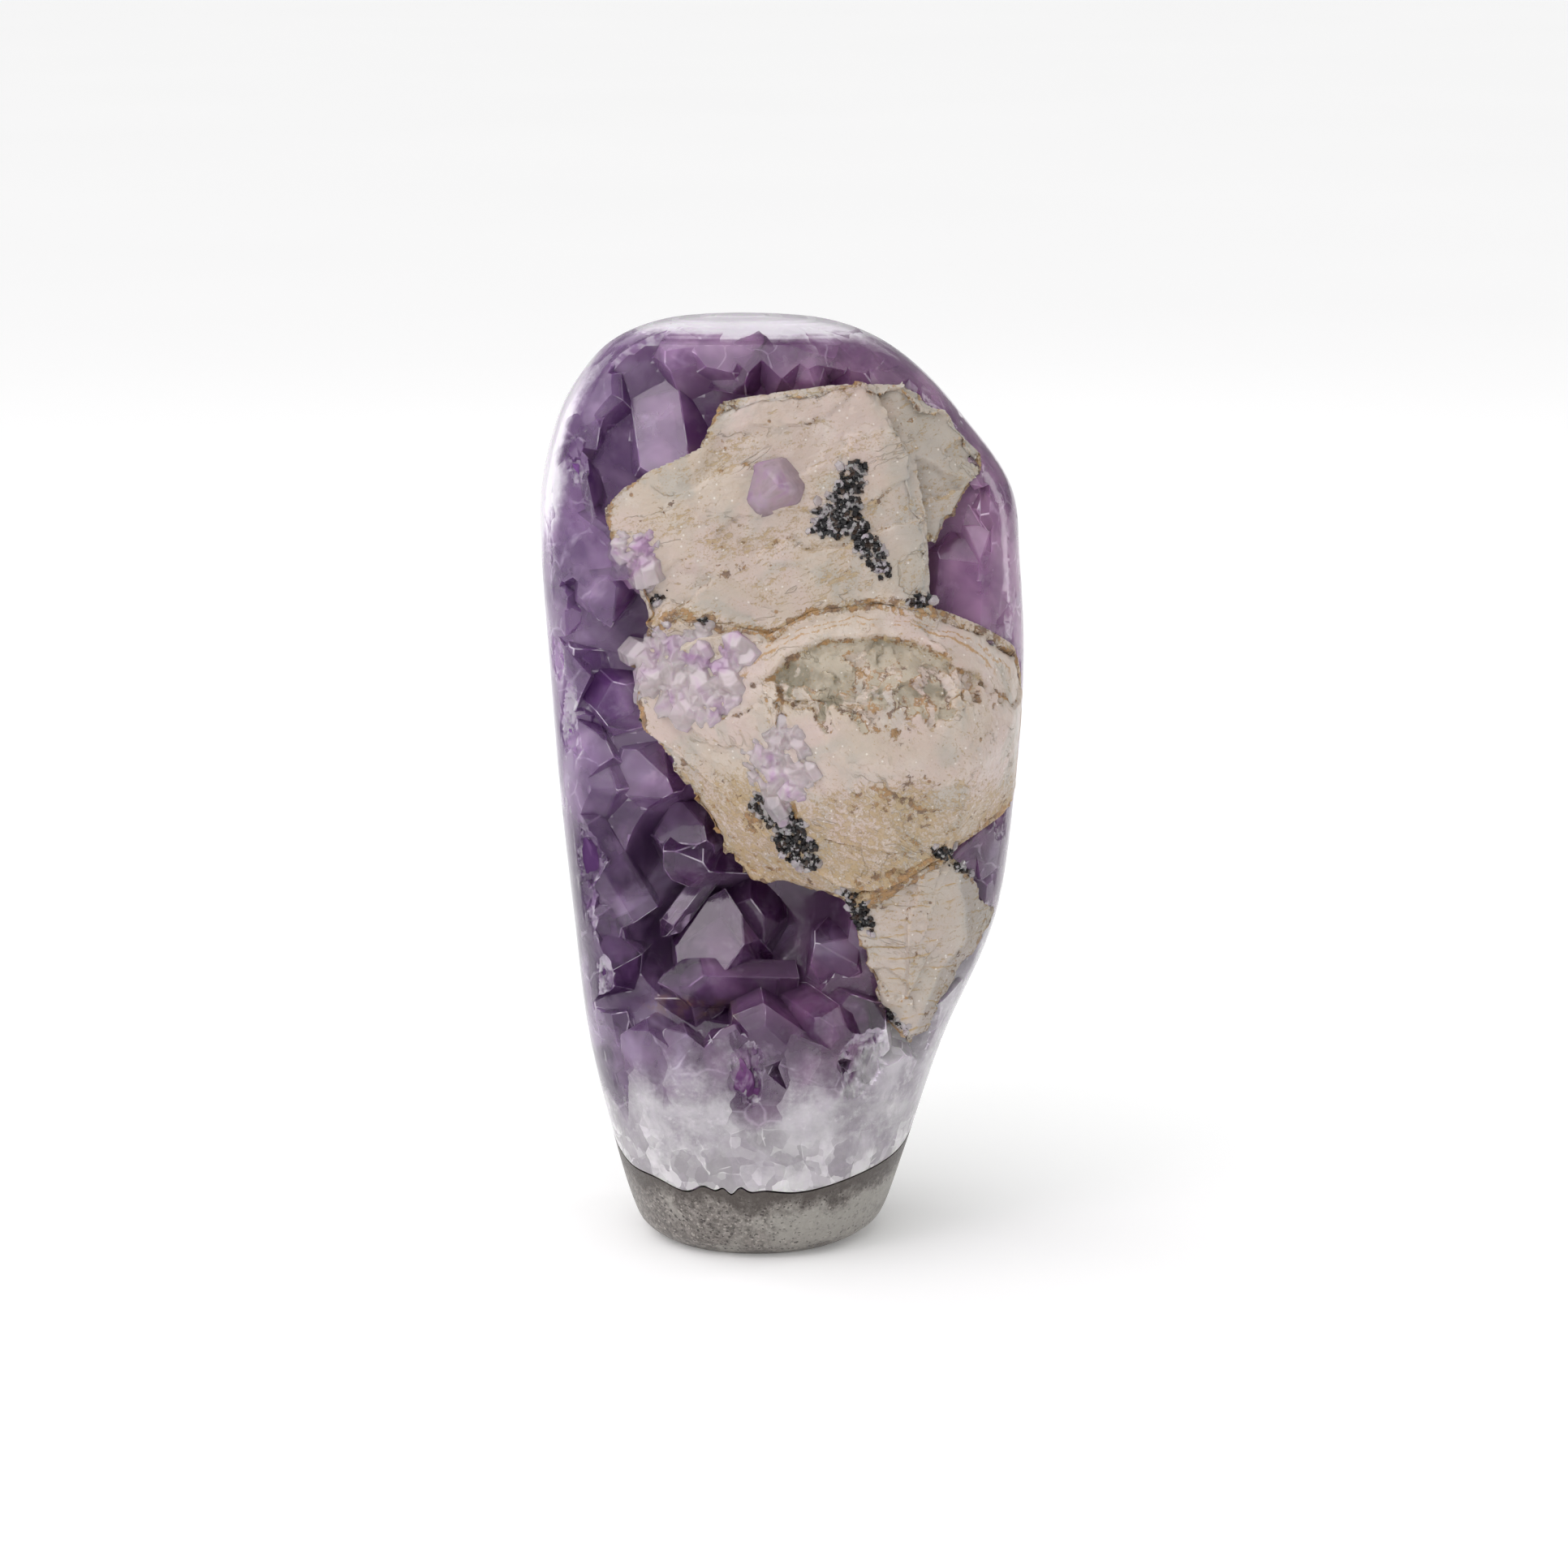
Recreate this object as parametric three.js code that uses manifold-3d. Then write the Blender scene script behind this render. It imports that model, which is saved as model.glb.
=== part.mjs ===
// Amethyst druse, free-standing: a slab sawn from the wall of a geode, its outside ground and polished smooth.
// A grey basalt rind wraps the back and the foot. The quartz crust grew on the rind, milky at its roots and
// violet at its tips, and its crystals point into the open front. Three calcite crystals lie across the
// front, with small late amethysts grown on them.
// Millimetres, +Z up, the front faces -Y. The origin is under the middle of the object, on the sawn foot.

import * as THREE from 'three';
import { ConvexGeometry } from 'three/addons/geometries/ConvexGeometry.js';
import { mergeVertices } from 'three/addons/utils/BufferGeometryUtils.js';
import Module from 'manifold-3d';

const wasm = await Module();
wasm.setup();

// Driving dimensions of the ground outside. Each station is the height and how far the outside reaches
// to the left, right, front and back there.
const STATIONS = [
  [0, -20.5, 11.5, -16.5, 17.5],
  [1.6, -23, 14.4, -19.2, 20],
  [4.5, -24.8, 16.8, -21.2, 21.6],
  [14, -27.6, 20, -24.2, 23.6],
  [34, -32.1, 26.3, -26, 25],
  [54, -34.4, 34.6, -25.4, 26],
  [75, -36.5, 37.6, -24.4, 26.5],
  [95, -37.9, 38.8, -23, 26],
  [112, -39, 38, -21.4, 25],
  [124, -38.9, 36.4, -19.6, 23.6],
  [135, -36.2, 28.6, -17, 21],
  [142, -32.3, 22.3, -14.4, 18.4],
  [147, -27.4, 15.6, -10.8, 15.2],
  [150, -20, 7.5, -6, 11],
  [151, -11, -3, 0, 5],
];
const RINGS_PER_STATION = 2;
const RING_SIDES = 40;
// Exponents of the cross-section, where 2 is an ellipse. The body's holds from its height upward.
const ROUNDNESS = { foot: 2.1, body: 2.7, height: 50 };

// The gap that keeps two grown-together solids apart.
const GAP = 0.3;

// The rind's inner face: a rounded bowl with its centre in front of the slab.
const RIND_BOWL = { centre: [-8, -20, 93], half: [60, 36, 80], roundness: 3, wave: 0.8 };

// The druse opens in the front, inside an even rim, and is deepest in a pocket low on the left.
// The end spans are the heights over which the hollow's floor curves up to its lower and upper rim.
const HOLLOW = { bottom: 28, top: 150.4, rim: 2, depth: 9, reach: -60, endSpans: [16, 6] };
const POCKET = { centre: [-8, -42, 60], half: [24, 37, 25], roundness: 2.4, wave: 0 };
const HOLLOW_STEPS = 16;
const HOLLOW_RINGS = 20;
const BOWL_SIDES = 20;

// Quartz: a rhombohedral end face stands 51.8 degrees from the base plane.
const END_FACE_ANGLE = THREE.MathUtils.degToRad(51.8);

const COLOURS = {
  rind: 0x7b7872,
  quartz: 0x8f74a8,
  calcite: 0xc9b9a6,
  late: 0xb79ac4,
};

// A repeatable pseudo-random number from 0 to 1, from a crystal's number and which of its values it is.
function chance(number, value) {
  const wave = Math.sin(number * 12.9898 + value * 78.233) * 43758.5453;
  return wave - Math.floor(wave);
}

function spread(number, value, low, high) {
  return low + (high - low) * chance(number, value);
}

// Solids

function solidOf(geometry) {
  const bare = geometry.clone();
  bare.deleteAttribute('normal');
  bare.deleteAttribute('uv');
  const merged = mergeVertices(bare, 1e-5);
  return new wasm.Manifold(new wasm.Mesh({
    numProp: 3,
    vertProperties: new Float32Array(merged.attributes.position.array),
    triVerts: new Uint32Array(merged.index.array),
  }));
}

function namedMesh(name, solid, colour, roughness) {
  const found = solid.getMesh();
  const geometry = new THREE.BufferGeometry();
  geometry.setAttribute('position', new THREE.BufferAttribute(new Float32Array(found.vertProperties), 3));
  geometry.setIndex(new THREE.BufferAttribute(new Uint32Array(found.triVerts), 1));
  geometry.computeVertexNormals();
  const material = new THREE.MeshStandardMaterial({ color: colour, roughness, metalness: 0 });
  const mesh = new THREE.Mesh(geometry, material);
  mesh.name = name;
  return mesh;
}

function union(solids) {
  return solids.reduce((joined, solid) => joined.add(solid));
}

function hullOf(points) {
  return solidOf(new ConvexGeometry(points.map((point) => new THREE.Vector3(...point))));
}

// The same hull, each corner moved out from the middle: it cuts room for its neighbour.
function grownHullOf(points, margin) {
  const corners = points.map((point) => new THREE.Vector3(...point));
  const middle = new THREE.Vector3();
  corners.forEach((corner) => middle.addScaledVector(corner, 1 / corners.length));
  const moved = corners.map((corner) => {
    const outward = corner.clone().sub(middle);
    return corner.clone().addScaledVector(outward.normalize(), margin);
  });
  return solidOf(new ConvexGeometry(moved));
}

// A closed skin over rings of equal length, capped at both ends.
function skinOver(rings) {
  const sides = rings[0].length;
  const positions = rings.flat(2);
  const faces = [];
  for (let ring = 0; ring + 1 < rings.length; ring += 1) {
    for (let side = 0; side < sides; side += 1) {
      const next = (side + 1) % sides;
      const low = ring * sides;
      const high = low + sides;
      faces.push(low + side, low + next, high + next, low + side, high + next, high + side);
    }
  }
  const addCap = (ring, upward) => {
    const middle = positions.length / 3;
    const sum = [0, 0, 0];
    rings[ring].forEach((point) => point.forEach((value, axis) => { sum[axis] += value / sides; }));
    positions.push(...sum);
    for (let side = 0; side < sides; side += 1) {
      const here = ring * sides + side;
      const there = ring * sides + ((side + 1) % sides);
      faces.push(...(upward ? [middle, here, there] : [middle, there, here]));
    }
  };
  addCap(0, false);
  addCap(rings.length - 1, true);
  const geometry = new THREE.BufferGeometry();
  geometry.setAttribute('position', new THREE.Float32BufferAttribute(positions, 3));
  geometry.setIndex(faces);
  return solidOf(geometry);
}

// The ground outside

function stationAt(place) {
  const last = STATIONS.length - 1;
  const from = Math.min(Math.floor(place), last - 1);
  const share = place - from;
  const before = STATIONS[Math.max(from - 1, 0)];
  const start = STATIONS[from];
  const end = STATIONS[from + 1];
  const after = STATIONS[Math.min(from + 2, last)];
  return start.map((value, item) => {
    const rise = end[item] - before[item];
    const fall = after[item] - value;
    const cubic = 2 * value - 2 * end[item] + rise / 2 + fall / 2;
    const square = -3 * value + 3 * end[item] - rise - fall / 2;
    return ((cubic * share + square) * share + rise / 2) * share + value;
  });
}

function stationOfHeight(height) {
  let [low, high] = [0, STATIONS.length - 1];
  for (let halving = 0; halving < 20; halving += 1) {
    const middle = (low + high) / 2;
    if (stationAt(middle)[0] < height) low = middle;
    else high = middle;
  }
  return stationAt(low);
}

function roundnessAt(height) {
  const share = THREE.MathUtils.smoothstep(height, 0, ROUNDNESS.height);
  return THREE.MathUtils.lerp(ROUNDNESS.foot, ROUNDNESS.body, share);
}

// frontReach, where it is given, draws the front out to that depth, for what stands proud of the slab.
function groundBody(frontReach) {
  const count = (STATIONS.length - 1) * RINGS_PER_STATION;
  const places = Array.from({ length: count + 1 }, (_, ring) => stationAt(ring / RINGS_PER_STATION));
  return skinOver(places.map(([height, left, right, front, back]) => {
    const power = 2 / roundnessAt(height);
    const reach = frontReach === undefined ? front : frontReach;
    return Array.from({ length: RING_SIDES }, (_, side) => {
      const turn = (side / RING_SIDES) * 2 * Math.PI;
      const [across, deep] = [Math.cos(turn), Math.sin(turn)]
        .map((wave) => Math.sign(wave) * Math.abs(wave) ** power);
      return [
        (left + right) / 2 + across * (right - left) / 2,
        deep * (deep > 0 ? back : -reach),
        height,
      ];
    });
  }));
}

// What is missing from the front of the slab: its floor lies behind the ground surface, most in the middle.
function frontHollow() {
  const { bottom, top, rim, depth, reach, endSpans } = HOLLOW;
  const heights = Array.from({ length: HOLLOW_RINGS }, (_, ring) => (
    bottom + (top - bottom) * (ring + 0.5) / HOLLOW_RINGS
  ));
  return skinOver(heights.map(stationOfHeight).map(([height, left, right, front]) => {
    const nearEnd = Math.min((height - bottom) / endSpans[0], (top - height) / endSpans[1], 1);
    const share = Math.sqrt(1 - (1 - nearEnd) ** 2);
    const half = (right - left) / 2;
    const width = half - rim * (2 - share);
    const roundness = roundnessAt(height);
    const floor = [];
    for (let step = 0; step <= HOLLOW_STEPS; step += 1) {
      const across = Math.cos((step / HOLLOW_STEPS) * Math.PI);
      const ground = front * (1 - Math.abs(across * width / half) ** roundness) ** (1 / roundness);
      const behind = depth * share * (1 - across ** 4);
      floor.push([(left + right) / 2 + across * width, ground + behind, height]);
    }
    const open = floor.map(([x]) => [x, reach, height]).reverse();
    return [...floor, ...open];
  }));
}

// A point on a rounded box, by two angles. The ripple is a slow unevenness of the surface.
function onBox({ centre, half, roundness, wave }, tilt, turn, margin = 0) {
  const way = [Math.cos(tilt) * Math.cos(turn), Math.cos(tilt) * Math.sin(turn), Math.sin(tilt)];
  const size = way.reduce((sum, part, axis) => sum + Math.abs(part / half[axis]) ** roundness, 0);
  const ripple = Math.sin(5 * turn + 1) * Math.cos(7 * tilt) + Math.sin(9 * turn - 11 * tilt) / 2;
  const reach = size ** (-1 / roundness) + margin + wave * ripple;
  return way.map((part, axis) => centre[axis] + part * reach);
}

// A rounded box, such as the rind's bowl or the pocket, with a margin added all round.
function roundedBox(box, margin = 0) {
  const rings = [];
  for (let ring = 1; ring < BOWL_SIDES; ring += 1) {
    const tilt = (ring / BOWL_SIDES - 0.5) * Math.PI;
    rings.push(Array.from({ length: 2 * BOWL_SIDES }, (_, side) => (
      onBox(box, tilt, (side / BOWL_SIDES) * Math.PI, margin)
    )));
  }
  return skinOver(rings);
}

// Looking in from the front

// The depth at which a line from the front, at that x and z, first meets a solid.
function frontOf(solid, x, z) {
  const { vertProperties, triVerts } = solid.getMesh();
  const corner = (index) => new THREE.Vector3().fromArray(vertProperties, 3 * index);
  const ray = new THREE.Ray(new THREE.Vector3(x, -100, z), new THREE.Vector3(0, 1, 0));
  let front = Infinity;
  for (let face = 0; face < triVerts.length; face += 3) {
    const [a, b, c] = [0, 1, 2].map((step) => corner(triVerts[face + step]));
    const hit = ray.intersectTriangle(a, b, c, false, new THREE.Vector3());
    if (hit) front = Math.min(front, hit.y);
  }
  return front;
}

// The way out of a hollow floor there, from how its depth changes to each side.
function wayOut(solid, x, z) {
  const step = 2;
  const slopeX = (frontOf(solid, x + step, z) - frontOf(solid, x - step, z)) / (2 * step);
  const slopeZ = (frontOf(solid, x, z + step) - frontOf(solid, x, z - step)) / (2 * step);
  const gentle = (slope) => THREE.MathUtils.clamp(slope, -STEEPEST, STEEPEST);
  return new THREE.Vector3(gentle(slopeX), -1, gentle(slopeZ)).normalize();
}

// Crystals

// The corners of a solid given by flat faces, each a direction and its distance from the origin.
function cornersOf(faces) {
  const corners = [];
  for (let a = 0; a < faces.length; a += 1) {
    for (let b = a + 1; b < faces.length; b += 1) {
      for (let c = b + 1; c < faces.length; c += 1) {
        const [p, q, r] = [faces[a], faces[b], faces[c]];
        const qr = q.way.clone().cross(r.way);
        const volume = p.way.dot(qr);
        if (Math.abs(volume) < 1e-6) continue;
        const corner = qr.multiplyScalar(p.distance)
          .addScaledVector(r.way.clone().cross(p.way), q.distance)
          .addScaledVector(p.way.clone().cross(q.way), r.distance)
          .divideScalar(volume);
        if (faces.every((face) => face.way.dot(corner) < face.distance + 1e-6)) corners.push(corner);
      }
    }
  }
  return corners;
}

// A quartz crystal: six prism faces and six end faces, unequal as they grow. Three end faces are the larger.
function quartzCrystal({ tip, axis, radius, length, spin, number }) {
  const faces = [];
  const flat = radius * Math.cos(Math.PI / 6);
  for (let side = 0; side < 6; side += 1) {
    const turn = ((side + 0.5) / 6) * 2 * Math.PI + spin;
    const out = new THREE.Vector3(Math.cos(turn), Math.sin(turn), 0);
    faces.push({ way: out, distance: flat * spread(number, side + 1, 0.82, 1.08) });
    const end = out.clone().multiplyScalar(Math.sin(END_FACE_ANGLE));
    end.z = Math.cos(END_FACE_ANGLE);
    const late = side % 2 ? 0.12 : 0;
    faces.push({ way: end, distance: radius * spread(number, side + 8, 0, 0.12) + radius * late });
  }
  faces.push({ way: new THREE.Vector3(0, 0, -1), distance: length });
  const turned = new THREE.Quaternion().setFromUnitVectors(
    new THREE.Vector3(0, 0, 1),
    new THREE.Vector3(...axis).normalize(),
  );
  const corners = cornersOf(faces);
  const top = Math.max(...corners.map((corner) => corner.z));
  corners.forEach((corner) => {
    corner.z -= top;
    corner.applyQuaternion(turned).add(new THREE.Vector3(...tip));
  });
  return solidOf(new ConvexGeometry(corners));
}

// Calcite: each crystal is one or two convex blocks, given by their corners.
const CALCITE_BACK = -7;

const UPPER_CALCITE = [
  [
    [-28.4, -17, 122.5], [-21.8, -17.5, 128.6], [-11.2, -16, 138.9], [-3.3, -16.5, 140.6], [14.6, -15.5, 143.2],
    [20, -18.5, 131], [22.5, -20, 119], [23.4, -22, 104], [4, -22, 102], [-14, -20.5, 102], [-22, -19.5, 104.5],
    [-26.5, -18, 114.6], [-8, -21.2, 124], [10, -21.6, 122],
    [-24, CALCITE_BACK, 118], [-16, CALCITE_BACK, 100], [20, CALCITE_BACK, 98], [20, CALCITE_BACK, 134],
    [-4, CALCITE_BACK, 136],
  ],
  [
    [13, -14, 142], [19.2, -13.5, 142.8], [27.1, -12.5, 137.2], [32.8, -9.5, 130.4], [29.6, -13, 125.6],
    [24, -17, 116], [20, -17, 121], [17, -16, 132],
    [14, CALCITE_BACK, 138], [28, CALCITE_BACK, 130], [18, CALCITE_BACK, 120],
  ],
];

const MIDDLE_CALCITE = [
  [
    [-2, -23, 103.4], [4.6, -22, 107], [15.2, -21.5, 108.2], [24.5, -20.5, 107.2], [31.1, -18, 104.2],
    [37.7, -12, 99.4], [39.4, -8, 93.1], [39.2, -8, 82.3], [37.7, -11, 73.9],
    [-3.3, -28, 94.4], [11.2, -32, 94.6], [28.4, -30, 93], [36.6, -21, 89],
    [1.3, -30, 77.6], [17.9, -32, 82], [31.1, -28, 83],
    [25.8, -24, 68.5], [15.2, -24, 62.4], [10.6, -23, 59.2], [2.6, -22, 62.6],
    [0, CALCITE_BACK, 100], [30, CALCITE_BACK, 100], [34, CALCITE_BACK, 76], [8, CALCITE_BACK, 66],
  ],
  [
    [-17.9, -19, 106.4], [-25.1, -18.5, 100.4], [-23.8, -20, 93.2], [-22.5, -21, 88.2], [-12.8, -20, 77.9],
    [-9.9, -19, 67.4], [-6, -18, 62.7], [2.6, -22, 62.6], [10.6, -22, 59.4],
    [1.3, -29.4, 77.4], [-12.6, -26, 91.3], [-3.3, -27.4, 94.6], [-2, -23, 103],
    [-18, CALCITE_BACK, 100], [-16, CALCITE_BACK, 90], [-6, CALCITE_BACK, 70], [4, CALCITE_BACK, 100],
    [6, CALCITE_BACK, 66],
  ],
];

const LOWER_CALCITE = [
  [
    [9.9, -21, 57.6], [14.6, -22, 64], [25.8, -22, 68], [29.8, -19, 63.7], [34.2, -10.5, 56], [31.1, -11, 50],
    [28.4, -12, 46], [24.5, -14, 38.7], [20.5, -18.4, 35.5], [15.9, -19.6, 39], [13.9, -21, 47.3],
    [12.6, -21.4, 52.8], [21.8, -23.4, 54], [20, -22.4, 46],
    [14, CALCITE_BACK, 66], [26, CALCITE_BACK, 66], [28, CALCITE_BACK, 52], [18, CALCITE_BACK, 42],
    [13, CALCITE_BACK, 54],
  ],
];

function blocks(corners) {
  return union(corners.map(hullOf));
}

function roomFor(corners) {
  return union(corners.map((points) => grownHullOf(points, GAP * 1.6)));
}

// Crystals that stand out in the druse, placed one by one: tip, way of growth, radius and spin in degrees.
const LARGE_CRYSTALS = [
  { tip: [-18.4, -21.4, 127.8], axis: [0.16, -0.42, -0.9], radius: 6.4, spin: 0 },
  { tip: [-27, -18.4, 132], axis: [0.4, -0.6, -0.6], radius: 7, spin: 25 },
  { tip: [-8.6, -17.6, 140.4], axis: [0.05, -0.75, -0.66], radius: 6.6, spin: 12 },
  { tip: [4.4, -17.6, 139.6], axis: [0.1, -0.66, -0.74], radius: 9, spin: 34 },
  { tip: [15.6, -17, 140], axis: [-0.25, -0.6, -0.74], radius: 8, spin: 5 },
  { tip: [35.4, -15, 127.6], axis: [0.26, -0.42, 0.87], radius: 8.4, spin: 20 },
  { tip: [27, -21, 115.6], axis: [-0.36, -0.84, 0.4], radius: 11, spin: 0 },
  { tip: [33, -17.4, 104.2], axis: [0.1, -0.9, -0.4], radius: 9, spin: 40 },
  { tip: [-24.4, -19.8, 106.4], axis: [0.62, -0.6, -0.5], radius: 7.2, spin: 16 },
  { tip: [-29.4, -20, 95.6], axis: [0.56, -0.8, 0.1], radius: 8, spin: 48 },
  { tip: [-27, -19.4, 83], axis: [0.55, -0.82, 0.1], radius: 8.4, spin: 8 },
  { tip: [-15.6, -13.8, 74.6], axis: [0.35, -0.9, -0.25], radius: 8.6, spin: 33 },
  { tip: [-27.6, -20.4, 66.2], axis: [0.5, -0.82, 0.22], radius: 8.4, spin: 18 },
  { tip: [-13, -12.6, 60], axis: [0.42, -0.72, 0.55], radius: 10.4, spin: 4 },
  { tip: [-24.4, -14.6, 52.6], axis: [0.5, -0.7, 0.5], radius: 9.4, spin: 52 },
  { tip: [-6.6, -14.8, 50], axis: [0.18, -0.66, 0.73], radius: 10, spin: 26 },
  { tip: [4.4, -18.6, 51.2], axis: [-0.2, -0.78, 0.6], radius: 7.6, spin: 44 },
  { tip: [4.4, -20.4, 42.6], axis: [-0.35, -0.72, 0.6], radius: 7.6, spin: 12 },
  { tip: [11.4, -23.4, 31.4], axis: [-0.1, -0.84, 0.54], radius: 7.6, spin: 30 },
  { tip: [-2.6, -22.4, 36.2], axis: [-0.1, -0.66, 0.75], radius: 8.6, spin: 50 },
  { tip: [-14.6, -22.4, 38.6], axis: [0.2, -0.62, 0.76], radius: 8.8, spin: 10 },
  { tip: [-25.4, -19.8, 41.4], axis: [0.4, -0.6, 0.7], radius: 7.6, spin: 38 },
];
const CRYSTAL_LENGTH = 22;

// Crystals fill the hollow between them on a staggered grid, except where calcite hides it.
const FILL = { stepX: 9.4, stepZ: 9, keepOff: 6.4, radius: [6.4, 9.4], stand: [6, 10], lean: 0.34, jitter: 2.4 };
const STEEPEST = 1.6; // the steepest floor that a crystal's way of growth follows

// The pocket's own crystals stand on its walls, in rows between two tilts, and point at a place in its mouth.
const POCKET_FILL = { rows: 4, tilt: 52, perRow: 5, mouth: [-6, -30, 58], radius: [7.4, 9.6], stand: [4.5, 8] };

function fillingCrystals(floor, calcite) {
  const found = [];
  const columns = Math.ceil(80 / FILL.stepX);
  const rows = Math.ceil((HOLLOW.top - HOLLOW.bottom) / FILL.stepZ);
  for (let number = 0; number < rows * columns; number += 1) {
    const row = Math.floor(number / columns);
    const column = number % columns;
    const x = -40 + (column + (row % 2) / 2) * FILL.stepX + spread(number, 21, -FILL.jitter, FILL.jitter);
    const z = HOLLOW.bottom + 3 + row * FILL.stepZ + spread(number, 22, -FILL.jitter, FILL.jitter);
    const depth = frontOf(floor, x, z);
    if (depth === Infinity || frontOf(calcite, x, z) !== Infinity) continue;
    if (Math.hypot((x - POCKET.centre[0]) / POCKET.half[0], (z - POCKET.centre[2]) / POCKET.half[2]) < 1) continue;
    if (LARGE_CRYSTALS.some(({ tip }) => Math.hypot(x - tip[0], z - tip[2]) < FILL.keepOff)) continue;
    const axis = wayOut(floor, x, z);
    axis.x += spread(number, 23, -FILL.lean, FILL.lean);
    axis.z += spread(number, 24, -FILL.lean, FILL.lean);
    axis.normalize();
    const tip = new THREE.Vector3(x, depth, z).addScaledVector(axis, spread(number, 25, ...FILL.stand));
    found.push({
      tip: tip.toArray(),
      axis: axis.toArray(),
      radius: spread(number, 26, ...FILL.radius),
      length: CRYSTAL_LENGTH,
      spin: chance(number, 27) * Math.PI,
      number,
    });
  }
  return found;
}

function pocketCrystals(calcite) {
  const { rows, tilt, perRow, mouth, radius, stand } = POCKET_FILL;
  const all = Array.from({ length: rows * perRow }, (_, index) => {
    const number = 300 + index;
    const row = Math.floor(index / perRow);
    const rise = THREE.MathUtils.degToRad(-tilt + (2 * tilt * row) / (rows - 1));
    const turn = ((index % perRow) + 0.5 + (row % 2) / 3) / perRow * Math.PI;
    const foot = new THREE.Vector3(...onBox(POCKET, rise, turn));
    const axis = new THREE.Vector3(...mouth).sub(foot).normalize();
    return {
      tip: foot.addScaledVector(axis, spread(number, 25, ...stand)).toArray(),
      axis: axis.toArray(),
      radius: spread(number, 26, ...radius),
      length: CRYSTAL_LENGTH,
      spin: chance(number, 27) * Math.PI,
      number,
    };
  });
  const reach = (radius) => [-radius, 0, radius].map((step) => step * 0.7);
  return all.filter(({ tip, radius }) => (
    reach(radius).every((step) => frontOf(calcite, tip[0] + step, tip[2]) === Infinity)
  ));
}

function largeCrystals() {
  return LARGE_CRYSTALS.map((crystal, index) => ({
    ...crystal,
    spin: THREE.MathUtils.degToRad(crystal.spin),
    length: CRYSTAL_LENGTH,
    number: 500 + index,
  }));
}

// Late amethysts on the calcite: each patch is a thin quartz skin with a few small crystals standing in it.
const LATE_PATCHES = {
  late_amethyst_middle: { on: 'middle', centre: [-15.6, 97.6], reach: [9.4, 7.4], count: 15, radius: [2.2, 3.6] },
  late_amethyst_lower: { on: 'middle', centre: [-0.6, 83], reach: [5.2, 7.4], count: 9, radius: [1.8, 2.8] },
  late_amethyst_left: { on: 'upper', centre: [-23.4, 113.4], reach: [5, 5.6], count: 8, radius: [1.9, 3.2] },
};
const HOSTS = { upper: UPPER_CALCITE, middle: MIDDLE_CALCITE };
const LATE_SKIN = 1; // thickness of the skin that joins a patch's crystals
const LATE_STAND = [1, 2.2]; // how far their tips stand out of the calcite
const LATE_LENGTH = 6;
const PATCH_SIDES = 16;
const PATCH_DEPTH = 4; // how far a patch reaches round the calcite, behind its middle
const LONE_AMETHYST = { at: [-1.2, 126.2], axis: [0.06, -0.94, 0.34], radius: 5.6, length: 10, stand: 5.6 };
const LONE_SPIN = THREE.MathUtils.degToRad(14);
const GOLDEN_ANGLE = Math.PI * (3 - Math.sqrt(5));

// A pillar with an oval section that runs from a depth out through the front: it bounds a patch.
function ovalPillar([x, z], [reachX, reachZ], depth) {
  const ring = (y) => Array.from({ length: PATCH_SIDES }, (_, side) => {
    const turn = (side / PATCH_SIDES) * 2 * Math.PI;
    const ragged = 1 + 0.1 * Math.sin(5 * turn) + 0.08 * Math.sin(3 * turn + 2);
    return [x + Math.cos(turn) * reachX * ragged, y, z + Math.sin(turn) * reachZ * ragged];
  });
  return skinOver([ring(depth), ring(-60)]);
}

function largestBody(solid) {
  return solid.decompose().sort((one, other) => other.volume() - one.volume())[0];
}

function patchPillar({ on, centre, reach }, margin = 0) {
  const depth = frontOf(blocks(HOSTS[on]), ...centre) + PATCH_DEPTH + margin;
  return ovalPillar(centre, reach.map((radius) => radius + margin), depth);
}

function latePatch(patch, firstNumber) {
  const { on, centre, reach, count, radius } = patch;
  const host = blocks(HOSTS[on]);
  const skin = union(HOSTS[on].map((points) => grownHullOf(points, LATE_SKIN)));
  const crystals = [];
  for (let index = 0; index < count; index += 1) {
    const number = firstNumber + index;
    const out = 0.9 * Math.sqrt((index + 0.4) / count);
    const turn = index * GOLDEN_ANGLE;
    const x = centre[0] + Math.cos(turn) * out * reach[0];
    const z = centre[1] + Math.sin(turn) * out * reach[1];
    const front = frontOf(host, x, z);
    if (front === Infinity) continue;
    crystals.push(quartzCrystal({
      tip: [x, front - spread(number, 2, ...LATE_STAND), z],
      axis: [Math.cos(turn) * out * 0.5, -1, Math.sin(turn) * out * 0.5],
      radius: spread(number, 1, ...radius),
      length: LATE_LENGTH,
      spin: chance(number, 3) * Math.PI,
      number,
    }));
  }
  return union([skin, ...crystals]).intersect(patchPillar(patch));
}

// Assembly

const ground = groundBody();
const drawnOut = groundBody(-46);
const calcites = {
  calcite_middle: blocks(MIDDLE_CALCITE),
  calcite_upper: blocks(UPPER_CALCITE).subtract(roomFor(MIDDLE_CALCITE)),
  calcite_lower: blocks(LOWER_CALCITE).subtract(roomFor(MIDDLE_CALCITE)),
};
const calciteRoom = union([MIDDLE_CALCITE, UPPER_CALCITE, LOWER_CALCITE].map(roomFor));
const patchRoom = union(Object.values(LATE_PATCHES).map((patch) => patchPillar(patch, GAP)));

const rind = ground.subtract(roundedBox(RIND_BOWL, GAP));

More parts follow.
